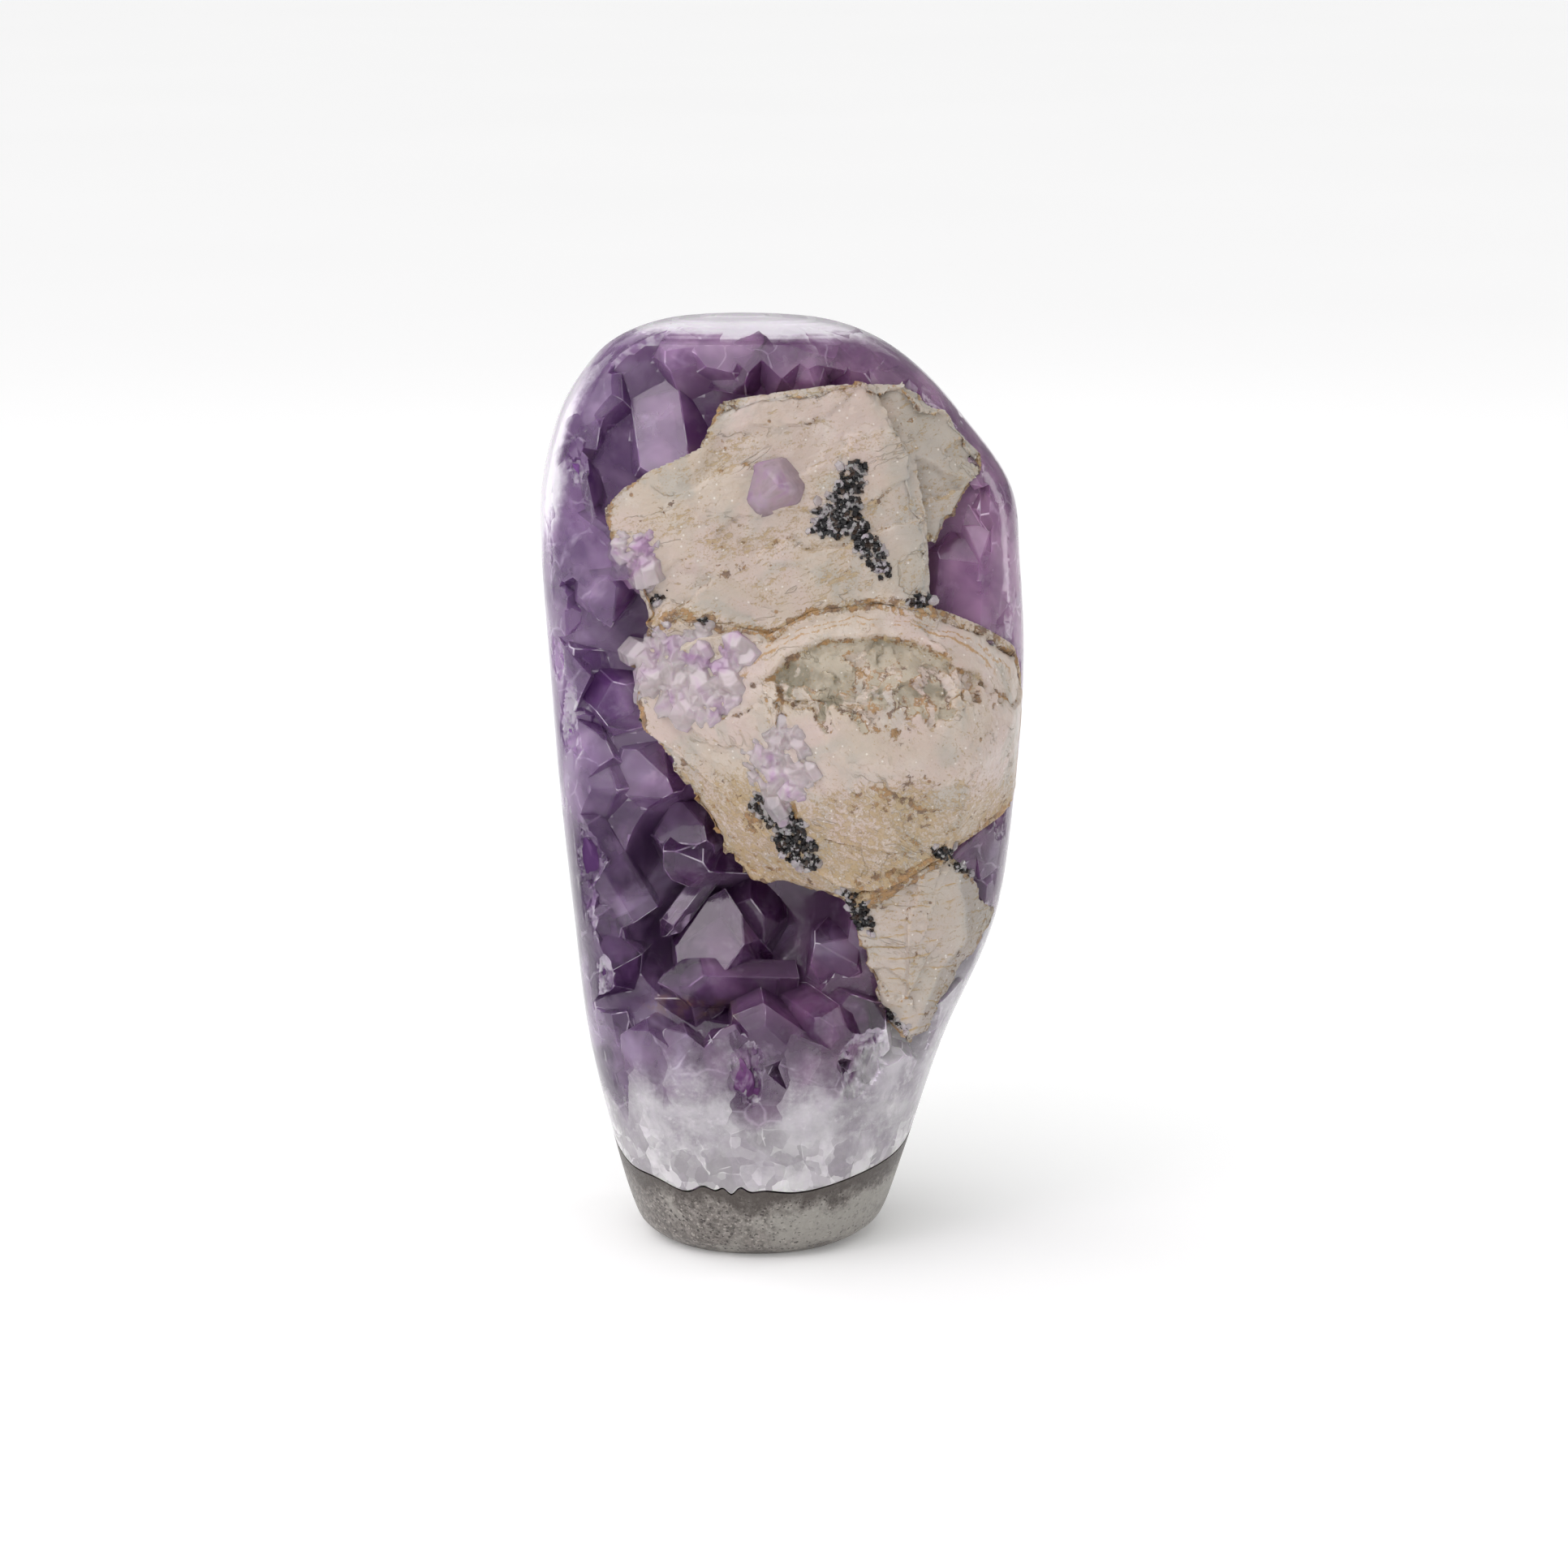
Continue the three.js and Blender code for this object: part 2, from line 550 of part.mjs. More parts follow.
const crust = ground
  .intersect(roundedBox(RIND_BOWL))
  .subtract(frontHollow())
  .subtract(roundedBox(POCKET));
const calcite = union([MIDDLE_CALCITE, UPPER_CALCITE, LOWER_CALCITE].map(blocks));
const crystals = union([
  ...largeCrystals(),
  ...pocketCrystals(calcite),
  ...fillingCrystals(crust, calcite),
].map(quartzCrystal));
const quartz = crust
  .add(crystals.intersect(ground).intersect(roundedBox(RIND_BOWL)))
  .subtract(calciteRoom)
  .subtract(patchRoom);

const druse = new THREE.Group();
druse.add(namedMesh('rind', rind, COLOURS.rind, 0.6));
druse.add(namedMesh('quartz_crust', quartz, COLOURS.quartz, 0.15));
Object.entries(calcites).forEach(([name, solid]) => {
  druse.add(namedMesh(name, solid.intersect(drawnOut), COLOURS.calcite, 0.45));
});
Object.entries(LATE_PATCHES).forEach(([name, patch], index) => {
  const grown = latePatch(patch, 700 + 40 * index);
  const free = largestBody(grown.subtract(calciteRoom).intersect(drawnOut));
  druse.add(namedMesh(name, free, COLOURS.late, 0.2));
});
const [loneX, loneZ] = LONE_AMETHYST.at;
const lone = quartzCrystal({
  ...LONE_AMETHYST,
  tip: [loneX, frontOf(blocks(UPPER_CALCITE), loneX, loneZ) - LONE_AMETHYST.stand, loneZ],
  spin: LONE_SPIN,
  number: 900,
});
druse.add(namedMesh('lone_amethyst', lone.subtract(calciteRoom), COLOURS.late, 0.2));

export default druse;
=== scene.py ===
import functools
import math

import bmesh
import bpy
import numpy as np
from mathutils import Euler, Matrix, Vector, noise
from mathutils.bvhtree import BVHTree


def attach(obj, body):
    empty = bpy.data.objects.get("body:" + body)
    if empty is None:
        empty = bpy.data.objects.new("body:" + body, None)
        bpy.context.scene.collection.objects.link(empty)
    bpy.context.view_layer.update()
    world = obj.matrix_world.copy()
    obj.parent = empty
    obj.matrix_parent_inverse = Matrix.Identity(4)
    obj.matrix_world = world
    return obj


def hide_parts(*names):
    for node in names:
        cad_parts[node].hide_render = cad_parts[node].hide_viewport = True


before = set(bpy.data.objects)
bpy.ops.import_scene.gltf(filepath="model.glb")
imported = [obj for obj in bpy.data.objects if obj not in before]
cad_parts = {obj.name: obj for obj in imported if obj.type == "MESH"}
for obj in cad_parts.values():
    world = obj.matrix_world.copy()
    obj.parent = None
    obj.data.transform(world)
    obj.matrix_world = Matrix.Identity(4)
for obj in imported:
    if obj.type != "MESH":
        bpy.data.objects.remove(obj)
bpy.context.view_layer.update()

# The rind is the basalt wall of the geode. It wraps the back of the slab and makes its foot, and it is
# ground round together with the quartz that grew on it. The rock is grey and fine-grained, weathered
# green in places, with a dark brown seam against the quartz.
MM = 0.001
SLAB = [  # height, then how far the outside reaches to the left, right, front and back, in mm
    (0, -20.5, 11.5, -16.5, 17.5),
    (1.6, -23, 14.4, -19.2, 20),
    (4.5, -24.8, 16.8, -21.2, 21.6),
    (14, -27.6, 20, -24.2, 23.6),
    (34, -32.1, 26.3, -26, 25),
    (54, -34.4, 34.6, -25.4, 26),
    (75, -36.5, 37.6, -24.4, 26.5),
    (95, -37.9, 38.8, -23, 26),
    (112, -39, 38, -21.4, 25),
    (124, -38.9, 36.4, -19.6, 23.6),
    (135, -36.2, 28.6, -17, 21),
    (142, -32.3, 22.3, -14.4, 18.4),
    (147, -27.4, 15.6, -10.8, 15.2),
    (150, -20, 7.5, -6, 11),
    (151, -11, -3, 0, 5),
]
SLAB_SIDES = 168
SLAB_RINGS = 9  # rings from one station to the next
FOOT_ROUNDNESS, BODY_ROUNDNESS, ROUND_HEIGHT = 2.1, 2.7, 50
INSIDE = 0.999  # keeps the fine surface inside the coarse one
SEAM = 0.3
BOWL = {"centre": (-8, -20, 93), "half": (60, 36, 80), "roundness": 3, "wave": 0.8}


def station_at(place):
    last = len(SLAB) - 1
    here = min(int(place), last - 1)
    share = place - here
    before, after = SLAB[max(here - 1, 0)], SLAB[min(here + 2, last)]
    found = []
    for b, s, e, a in zip(before, SLAB[here], SLAB[here + 1], after):
        rise, fall = e - b, a - s
        cubic = 2 * s - 2 * e + rise / 2 + fall / 2
        square = -3 * s + 3 * e - rise - fall / 2
        found.append(((cubic * share + square) * share + rise / 2) * share + s)
    return found


def station_of_height(height):
    low, high = 0, len(SLAB) - 1
    for _ in range(20):
        middle = (low + high) / 2
        if station_at(middle)[0] < height:
            low = middle
        else:
            high = middle
    return station_at(low)


def smooth_step(value, low, high):
    share = min(max((value - low) / (high - low), 0), 1)
    return share * share * (3 - 2 * share)


def roundness_at(height):
    return FOOT_ROUNDNESS + (BODY_ROUNDNESS - FOOT_ROUNDNESS) * smooth_step(height, 0, ROUND_HEIGHT)


def placed(name, data):
    """A new object of the scene with that mesh, lamp or camera."""
    made = bpy.data.objects.new(name, data)
    bpy.context.scene.collection.objects.link(made)
    return made


def new_piece(name, corners, faces):
    mesh = bpy.data.meshes.new(name)
    mesh.from_pydata([Vector(corner) * MM for corner in corners], [], faces)
    return placed(name, mesh)


def skin(name, rings):
    """A closed mesh over rings of equal length. They run counterclockwise, seen from the last ring's end."""
    sides = len(rings[0])
    faces = [list(range(sides))[::-1], [(len(rings) - 1) * sides + side for side in range(sides)]]
    for ring in range(len(rings) - 1):
        for side in range(sides):
            here, beside = ring * sides + side, ring * sides + (side + 1) % sides
            faces.append([here, beside, beside + sides, here + sides])
    return new_piece(name, [point for ring in rings for point in ring], faces)


def signed_power(wave, power):
    return math.copysign(abs(wave) ** power, wave)


def ground_slab(name, under=0.0):
    """The ground outside of the slab, or a body that lies that far under it."""
    rings = []
    for ring in range((len(SLAB) - 1) * SLAB_RINGS + 1):
        height, left, right, front, back = station_at(ring / SLAB_RINGS)
        if not under <= height <= SLAB[-1][0] - under:
            continue
        power = 2 / roundness_at(height)
        half = max((right - left) / 2 * INSIDE - under, 0.5)
        points = []
        for side in range(SLAB_SIDES):
            turn = side / SLAB_SIDES * 2 * math.pi
            across, deep = signed_power(math.cos(turn), power), signed_power(math.sin(turn), power)
            reach = max((back if deep > 0 else -front) * INSIDE - under, 0.5)
            points.append(((left + right) / 2 + across * half, deep * reach, height))
        rings.append(points)
    return skin(name, rings)


def on_box(box, tilt, turn, margin=0.0):
    way = (math.cos(tilt) * math.cos(turn), math.cos(tilt) * math.sin(turn), math.sin(tilt))
    size = sum(abs(part / half) ** box["roundness"] for part, half in zip(way, box["half"]))
    ripple = math.sin(5 * turn + 1) * math.cos(7 * tilt) + math.sin(9 * turn - 11 * tilt) / 2
    reach = size ** (-1 / box["roundness"]) + margin + box["wave"] * ripple
    return tuple(centre + part * reach for centre, part in zip(box["centre"], way))


def rounded_box(name, box, margin=0.0, sides=96):
    rings = []
    for ring in range(1, sides):
        tilt = (ring / sides - 0.5) * math.pi
        rings.append([on_box(box, tilt, side / sides * math.pi, margin) for side in range(2 * sides)])
    return skin(name, rings)


def settle(piece):
    """Turns a piece and its modifiers into a plain mesh."""
    graph = bpy.context.evaluated_depsgraph_get()
    mesh = bpy.data.meshes.new_from_object(piece.evaluated_get(graph))
    piece.modifiers.clear()
    piece.data = mesh


def combine(piece, tool, operation):
    step = piece.modifiers.new("combine", "BOOLEAN")
    step.operation = operation
    step.solver = "MANIFOLD"
    step.object = tool
    settle(piece)
    bpy.data.objects.remove(tool)


def shade(piece, sharp_from):
    """Smooth shading, with sharp edges where faces meet at more than that many degrees."""
    piece.data.shade_smooth()
    piece.data.set_sharp_from_angle(angle=math.radians(sharp_from))


class Wire:
    """A value in a material's nodes. Arithmetic on wires adds Math nodes."""

    def __init__(self, tree, socket=None):
        self.tree = tree
        self.socket = socket

    def node(self, kind, settings=None, inputs=None, output=0):
        made = self.tree.nodes.new(kind)
        for name, value in (settings or {}).items():
            setattr(made, name, value)
        for name, value in (inputs or {}).items():
            if isinstance(value, Wire):
                self.tree.links.new(value.socket, made.inputs[name])
            else:
                made.inputs[name].default_value = value
        return Wire(self.tree, made.outputs[output] if made.outputs else None)

    def maths(self, operation, *values):
        return self.node("ShaderNodeMath", {"operation": operation}, dict(enumerate(values)))

    def vector(self, operation, *values):
        return self.node("ShaderNodeVectorMath", {"operation": operation}, dict(enumerate((self, *values))))

    def __add__(self, other):
        return self.maths("ADD", self, other)

    def __sub__(self, other):
        return self.maths("SUBTRACT", self, other)

    def __rsub__(self, other):
        return self.maths("SUBTRACT", other, self)

    def __mul__(self, other):
        return self.maths("MULTIPLY", self, other)

    def __truediv__(self, other):
        return self.maths("DIVIDE", self, other)

    def __pow__(self, other):
        return self.maths("POWER", self, other)

    def __abs__(self):
        return self.maths("ABSOLUTE", self)

    __radd__ = __add__
    __rmul__ = __mul__

    def fraction(self):
        return self.maths("FRACT", self)

    def larger(self, other):
        return self.maths("MAXIMUM", self, other)

    def rise(self, low, high):
        """0 at the low value and 1 at the high one, smooth between them. The low one may be the larger."""
        inputs = {"Value": self, "From Min": low, "From Max": high}
        return self.node("ShaderNodeMapRange", {"interpolation_type": "SMOOTHSTEP"}, inputs)

    def tint(self, first, second):
        """A colour from the first to the second, with this wire as the share."""
        first, second = (end if isinstance(end, Wire) else (*end, 1) for end in (first, second))
        return self.node("ShaderNodeMix", {"data_type": "RGBA"}, {0: self, 6: first, 7: second}, 2)

    def clouds(self, size, detail=3.0, roughness=0.55, distortion=0.0):
        """Noise with lumps of about that size in mm, at this place."""
        inputs = {"Vector": self, "Scale": 1 / size, "Detail": detail, "Roughness": roughness}
        inputs["Distortion"] = distortion
        return self.node("ShaderNodeTexNoise", None, inputs)

    def cells(self, size, feature="F1", output="Distance"):
        """Cells of about that size in mm, at this place."""
        inputs = {"Vector": self, "Scale": 1 / size}
        return self.node("ShaderNodeTexVoronoi", {"feature": feature}, inputs, output)

    def cell_number(self, size, part):
        """A chance number that is the same all over each cell of about that size in mm."""
        return self.cells(size, output="Color").parts()[part]

    def bent(self, size, detail, reach):
        """This place, pushed about within that reach in mm, in waves of about that size."""
        inputs = {"Vector": self, "Scale": 1 / size, "Detail": detail}
        drawn = self.node("ShaderNodeTexNoise", None, inputs, "Color")
        return self.vector("ADD", drawn.vector("MULTIPLY", (reach, reach, reach)))

    def parts(self):
        return [self.node("ShaderNodeSeparateXYZ", None, {0: self}, index) for index in range(3)]

    def bump(self, depth, before=None):
        """A surface normal from this wire as a height, in units of that depth in mm."""
        inputs = {"Height": self, "Distance": depth * MM, "Strength": 1.0}
        if before is not None:
            inputs["Normal"] = before
        return self.node("ShaderNodeBump", None, inputs)


def new_material(name):
    """A material with an empty node tree, and the wire of a place on the piece in mm."""
    made = bpy.data.materials.new(name)
    made.use_nodes = True
    made.node_tree.nodes.clear()
    place = Wire(made.node_tree).node("ShaderNodeTexCoord", None, None, "Object")
    return made, place.vector("MULTIPLY", (1 / MM, 1 / MM, 1 / MM))


def dress(piece, material, slot, *nodes):
    """Gives a piece its material, hangs it under the root body and hides the parts of model.glb that it
    replaces.
    """
    piece.data.materials.clear()
    piece.data.materials.append(material)
    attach(piece, "root")
    if nodes:
        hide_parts(*nodes)


def bowl_size(place):
    """How far a place is from the middle of the bowl of the rind, 1 on its wall."""
    away = place.vector("SUBTRACT", BOWL["centre"]).vector("DIVIDE", BOWL["half"]).vector("ABSOLUTE")
    x, y, z = away.parts()
    power = BOWL["roundness"]
    return (x ** power + y ** power + z ** power) ** (1 / power)


def painted(colour, *layers):
    """A colour with others laid over it in turn, each with a wire that says how much of it shows."""
    for share, paint in layers:
        colour = share.tint(colour, paint)
    return colour


def rock_material():
    made, place = new_material("basalt")
    x, _, _ = place.parts()
    mineral = place.clouds(1.0, 5, 0.75)
    patches = place.clouds(8, 5, 0.7, 0.8) + x.rise(-30, 26) * 0.16
    grain = place.cell_number(0.34, 0)
    seam = bowl_size(place) + (place.clouds(4, 5, 0.7) - 0.5) * 0.12
    ledge = seam.rise(1.04, 1.06) * seam.rise(1.14, 1.1) * x.rise(-14, 8)
    colour = painted(
        mineral.rise(0.35, 0.7).tint((0.08, 0.067, 0.058), (0.27, 0.24, 0.22)),
        (patches.rise(0.5, 0.66) * 0.6, (0.37, 0.35, 0.315)),
        (place.clouds(2.6, 5, 0.75).rise(0.56, 0.7) * 0.5, (0.46, 0.42, 0.385)),
        (grain.rise(0.93, 0.96) * 0.6, (0.46, 0.42, 0.38)),
        ((1 - grain).rise(0.88, 0.93), (0.04, 0.03, 0.026)),
        (ledge * 0.5, (0.36, 0.345, 0.31)),
        (seam.rise(1.06, 1.012) * 0.9, (0.05, 0.037, 0.03)),
    )
    wave = place.clouds(5, 2, 0.5).bump(0.3)
    pits = (mineral * 0.7 + grain * 0.3).bump(0.16, wave)
    surface = place.node("ShaderNodeBsdfPrincipled", None, {
        "Base Color": colour, "Roughness": grain * 0.25 + 0.36, "Normal": pits, "Coat Weight": 0.25,
        "Coat Roughness": 0.3,
    })
    place.node("ShaderNodeOutputMaterial", None, {"Surface": surface})
    return made


rind = ground_slab("rind_rock")
combine(rind, rounded_box("bowl", BOWL, SEAM), "DIFFERENCE")
shade(rind, 25)
dress(rind, rock_material(), "rind", "rind")

# The quartz crust grew on the rind in crystals that touch, so it is one piece: violet crystals, clear at
# their tips and white at their roots. The grinding that rounded the slab has cut the crystals of its rim
# flat and polished them.
HOLLOW = {"bottom": 28, "top": 150.4, "rim": 2, "depth": 9, "reach": -60, "end_spans": (18, 18)}
POCKET = {"centre": (-8, -42, 60), "half": (24, 37, 25), "roundness": 2.4, "wave": 0}
END_FACE_ANGLE = math.radians(51.8)
LIT = Vector((-0.245, -0.833, 0.495))  # faces that look this way catch the light
LARGE_CRYSTALS = [  # tip, way of growth, radius, how far a face is turned from the light in degrees
    ((-16.4, -10.8, 122.8), (0.14, -0.535, -0.833), 9.2, 0),
    ((-29.4, -11.6, 131), (0.3, -0.62, -0.72), 5.4, 20),
    ((-30, -16.4, 121), (0.5, -0.8, -0.34), 7.4, 30),
    ((-6.4, -12.2, 141.2), (0.02, -0.5, -0.87), 5.4, 8),
    ((5.4, -12.4, 138.4), (0.2, -0.7, -0.68), 9.4, 30),
    ((15.4, -12.2, 138.6), (-0.1, -0.72, -0.68), 6.2, 12),
    ((22.6, -12.4, 134), (-0.2, -0.86, -0.46), 6, 40),
    ((30.4, -5.6, 122.4), (0.1, 0.14, 0.98), 9.6, 16),
    ((36.4, -9, 131), (0.25, -0.3, 0.9), 5.2, 10),
    ((34, -15, 102), (0.2, -0.9, -0.36), 7.4, 40),
    ((-27.6, -16.8, 103.4), (0.05, -0.58, -0.81), 5.4, 4),
    ((-24.4, -19, 111.4), (0.62, -0.6, -0.5), 6.4, 16),
    ((-31, -17.4, 95.4), (0.56, -0.8, 0.1), 8, 48),
    ((-27, -17.8, 83), (0.55, -0.82, 0.1), 8.4, 8),
    ((-17.4, -18.6, 77.4), (0.42, -0.86, -0.2), 7.4, 33),
    ((-21.6, -19.4, 88.4), (0.5, -0.8, -0.3), 6.2, 20),
    ((-12.4, -17.4, 69.4), (0.3, -0.9, 0.1), 6.2, 8),
    ((-19.4, -16.6, 67), (-0.62, -0.72, 0.2), 5.6, 26),
    ((-28.6, -18.4, 66.2), (0.5, -0.82, 0.22), 8.4, 18),
    ((-9.6, -11, 59.6), (0.056, -0.173, 0.984), 9.4, 0),
    ((-19.8, -12, 52), (-0.6, -0.275, -0.759), 2.4, 0),
    ((-26, -15.4, 58.4), (0.5, -0.6, 0.62), 8, 52),
    ((-4.8, -12.2, 47), (0.03, -0.8, -0.6), 7.4, 12),
    ((-5, -9.4, 66), (0.1, -0.8, -0.5), 6.6, 30),
    ((4, -12.4, 61), (-0.3, -0.85, -0.3), 7, 20),
    ((4.6, -18, 52.4), (-0.5, -0.75, 0.4), 7.4, 44),
    ((-20.4, -17, 45.6), (-0.93, -0.3, 0.1), 5.4, 18),
    ((-8.6, -16.6, 42.6), (0.9, -0.4, 0.1), 5, 40),
    ((4.4, -20.4, 42.6), (-0.35, -0.72, 0.6), 7.6, 12),
    ((12.4, -21.4, 34), (-0.1, -0.84, 0.54), 6.6, 30),
    ((-3.6, -21.4, 36.6), (-0.1, -0.66, 0.75), 7.6, 50),
    ((-14.6, -21.4, 38.6), (0.2, -0.62, 0.76), 8, 10),
    ((-25.4, -18.4, 41.4), (0.4, -0.6, 0.7), 7, 38),
]
FIRST_LARGE, FIRST_POCKET, FIRST_RIM = 500, 300, 800  # numbers from which the crystals are counted
WEDGED = FIRST_LARGE  # the crystal that ends in a wedge, so that its lit face reaches its tip
CRYSTAL_LENGTH = 22
LIT_SPOT = (-19, 133, 10.4)  # middle in x and z, and radius: nothing there hides the first crystal's lit face
FILL = {
    "left": -40, "width": 80, "over_bottom": 3, "step_x": 9.4, "step_z": 9, "keep_off": 1.6,
    "radius": (5.6, 8.6), "stand": (4, 8), "lean": 0.34, "jitter": 2.4,
}
CLEAR_SHARE = 0.7  # share of a placed crystal's radius within which no other crystal stands
SLOPE_STEP, STEEPEST = 2, 1.6  # over how many mm the floor's slope is taken, and its limit
POCKET_FILL = {
    "rows": 4, "tilt": 52, "per_row": 5, "mouth": (-6, -30, 58), "radius": (6.4, 9), "stand": (2, 5),
}
RIM_GROWTH = {  # its crystals lean towards the middle height
    "step": 5.2, "side": 0.93, "radius": (3, 5.4), "over": (1, 2.4), "lean": 0.5, "middle": 90,
}
RIM_ROWS = [  # height, number, left end and right end as a share of half the width
    (31, 9, -0.86, 0.86),
    (37, 7, -0.7, 0.7),
    (146, 4, -0.1, 0.7),
]
SIDE_FROM = 0.87  # the rim's crystals that stand further out are smaller: the others grow by these shares
FRONT_WIDER, FRONT_HIGHER = 1.35, 1.6
CORE_TIP = (2.6, 5.4)  # how far the cloudy core of a crystal ends below its tip
CORE_SHARE = 0.72  # and its radius as a share of the crystal's
BREAKS = [  # where the rim has splintered: height, place from left to right as a share of the width, radius
    (87, -0.9, 6),
    (97, -0.95, 4.4),
    (66, -0.86, 6.6),
    (57.5, -0.88, 5),
    (33.5, 0.52, 8),
    (45, -0.84, 5),
    (131, -0.84, 4),
    (33, -0.1, 5),
    (71, 0.93, 5),
]


def chance(number, value):
    wave = math.sin(number * 12.9898 + value * 78.233) * 43758.5453
    return wave - math.floor(wave)


def spread(number, value, low, high):
    return low + (high - low) * chance(number, value)


def spin_from_light(axis, turn):
    """The spin at which the first side of a crystal is turned that many degrees from the light."""
    light = Vector((0, 0, 1)).rotation_difference(Vector(axis).normalized()).inverted() @ LIT
    return math.atan2(light.y, light.x) - math.pi / 6 + math.radians(turn)


def front_hollow(name, deeper=0.0, wider=0.0, rings=90, steps=64):
    """What is missing from the front of the slab. Its floor lies behind the ground surface."""
    bottom, top, reach = HOLLOW["bottom"] - deeper, HOLLOW["top"] + deeper / 3, HOLLOW["reach"]
    low_span, high_span = HOLLOW["end_spans"]
    made = []
    for ring in range(rings):
        height = bottom + (top - bottom) * (ring + 0.5) / rings
        height, left, right, front, _ = station_of_height(height)
        near_end = min((height - bottom) / low_span, (top - height) / high_span, 1)
        share = 1 - (1 - near_end) ** 2
        half = (right - left) / 2
        width = min(half - HOLLOW["rim"] * (2 - share) + wider, half - 0.02)
        roundness = roundness_at(height)
        floor = []
        for step in range(steps + 1):
            across = math.cos(step / steps * math.pi)
            ground = front * (1 - abs(across * width / half) ** roundness) ** (1 / roundness)
            behind = (HOLLOW["depth"] + deeper) * share * (1 - across ** 4)
            floor.append(((left + right) / 2 + across * width, ground + behind, height))
        made.append(floor + [(x, reach, z) for x, _, z in floor[::-1]])
    return skin(name, made)


def tree_of(*pieces):
    """The surfaces of some pieces as one tree for ray casts, in mm."""
    corners, faces = [], []
    for piece in pieces:
        first = len(corners)
        corners += [corner.co / MM for corner in piece.data.vertices]
        faces += [[first + corner for corner in face.vertices] for face in piece.data.polygons]
    return BVHTree.FromPolygons(corners, faces)


def front_of(tree, x, z):
    """The depth at which a line from the front first meets the tree, or nothing."""
    place = tree.ray_cast(Vector((x, -100, z)), Vector((0, 1, 0)))[0]
    return None if place is None else place.y


def from_form(name, form):
    mesh = bpy.data.meshes.new(name)
    form.to_mesh(mesh)
    form.free()
    return placed(name, mesh)


def quartz_crystal(name, tip, axis, radius, spin, number, length=CRYSTAL_LENGTH, edge=0.15):
    """A quartz crystal: six prism faces and six end faces, unequal as they grow, with worn edges."""
    wedge = {0: 1.2, 3: -0.9} if number == WEDGED else {}
    faces = []
    flat = radius * math.cos(math.pi / 6)
    for side in range(6):
        turn = (side + 0.5) / 6 * 2 * math.pi + spin
        out = Vector((math.cos(turn), math.sin(turn), 0))
        faces.append((out, flat * spread(number, side + 1, 0.82, 1.08)))
        end = out * math.sin(END_FACE_ANGLE) + Vector((0, 0, math.cos(END_FACE_ANGLE)))
        late = wedge.get(side, 0.12 if side % 2 else 0)
        faces.append((end, radius * (spread(number, side + 8, 0, 0.12) + late)))
    faces.append((Vector((0, 0, -1)), length))
    corners = []
    for a, (p, dp) in enumerate(faces):
        for b, (q, dq) in enumerate(faces[:a]):
            for r, dr in faces[:b]:
                volume = p.dot(q.cross(r))
                if abs(volume) < 1e-6:
                    continue
                corner = (q.cross(r) * dp + r.cross(p) * dq + p.cross(q) * dr) / volume
                if all(way.dot(corner) < far + 1e-5 for way, far in faces):
                    corners.append(corner)
    top = max(corner.z for corner in corners)
    turned = Vector((0, 0, 1)).rotation_difference(Vector(axis).normalized())
    form = bmesh.new()
    for corner in corners:
        form.verts.new((turned @ (corner - Vector((0, 0, top))) + Vector(tip)) * MM)
    bmesh.ops.remove_doubles(form, verts=form.verts, dist=0.01 * MM)
    bmesh.ops.convex_hull(form, input=form.verts)
    bmesh.ops.dissolve_limit(form, angle_limit=math.radians(1), verts=form.verts, edges=form.edges)
    if edge:
        size = {"offset": edge * MM, "segments": 1, "affect": "EDGES", "clamp_overlap": True}
        bmesh.ops.bevel(form, geom=form.edges[:], **size)
    bmesh.ops.recalc_face_normals(form, faces=form.faces)
    return from_form(name, form)


def joined(pieces):
    """One solid of many, joined two by two."""
    while len(pieces) > 1:
        for first, second in zip(pieces[0::2], pieces[1::2]):
            combine(first, second, "UNION")
        pieces = pieces[0::2]
    return pieces[0]


CALCITES = ["calcite_upper", "calcite_middle", "calcite_lower"]
calcite_tree = tree_of(*(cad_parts[name] for name in CALCITES))
crust = ground_slab("quartz")
combine(crust, rounded_box("bowl", BOWL), "INTERSECT")
combine(crust, front_hollow("hollow"), "DIFFERENCE")
combine(crust, rounded_box("pocket", POCKET, sides=48), "DIFFERENCE")
floor_tree = tree_of(crust)

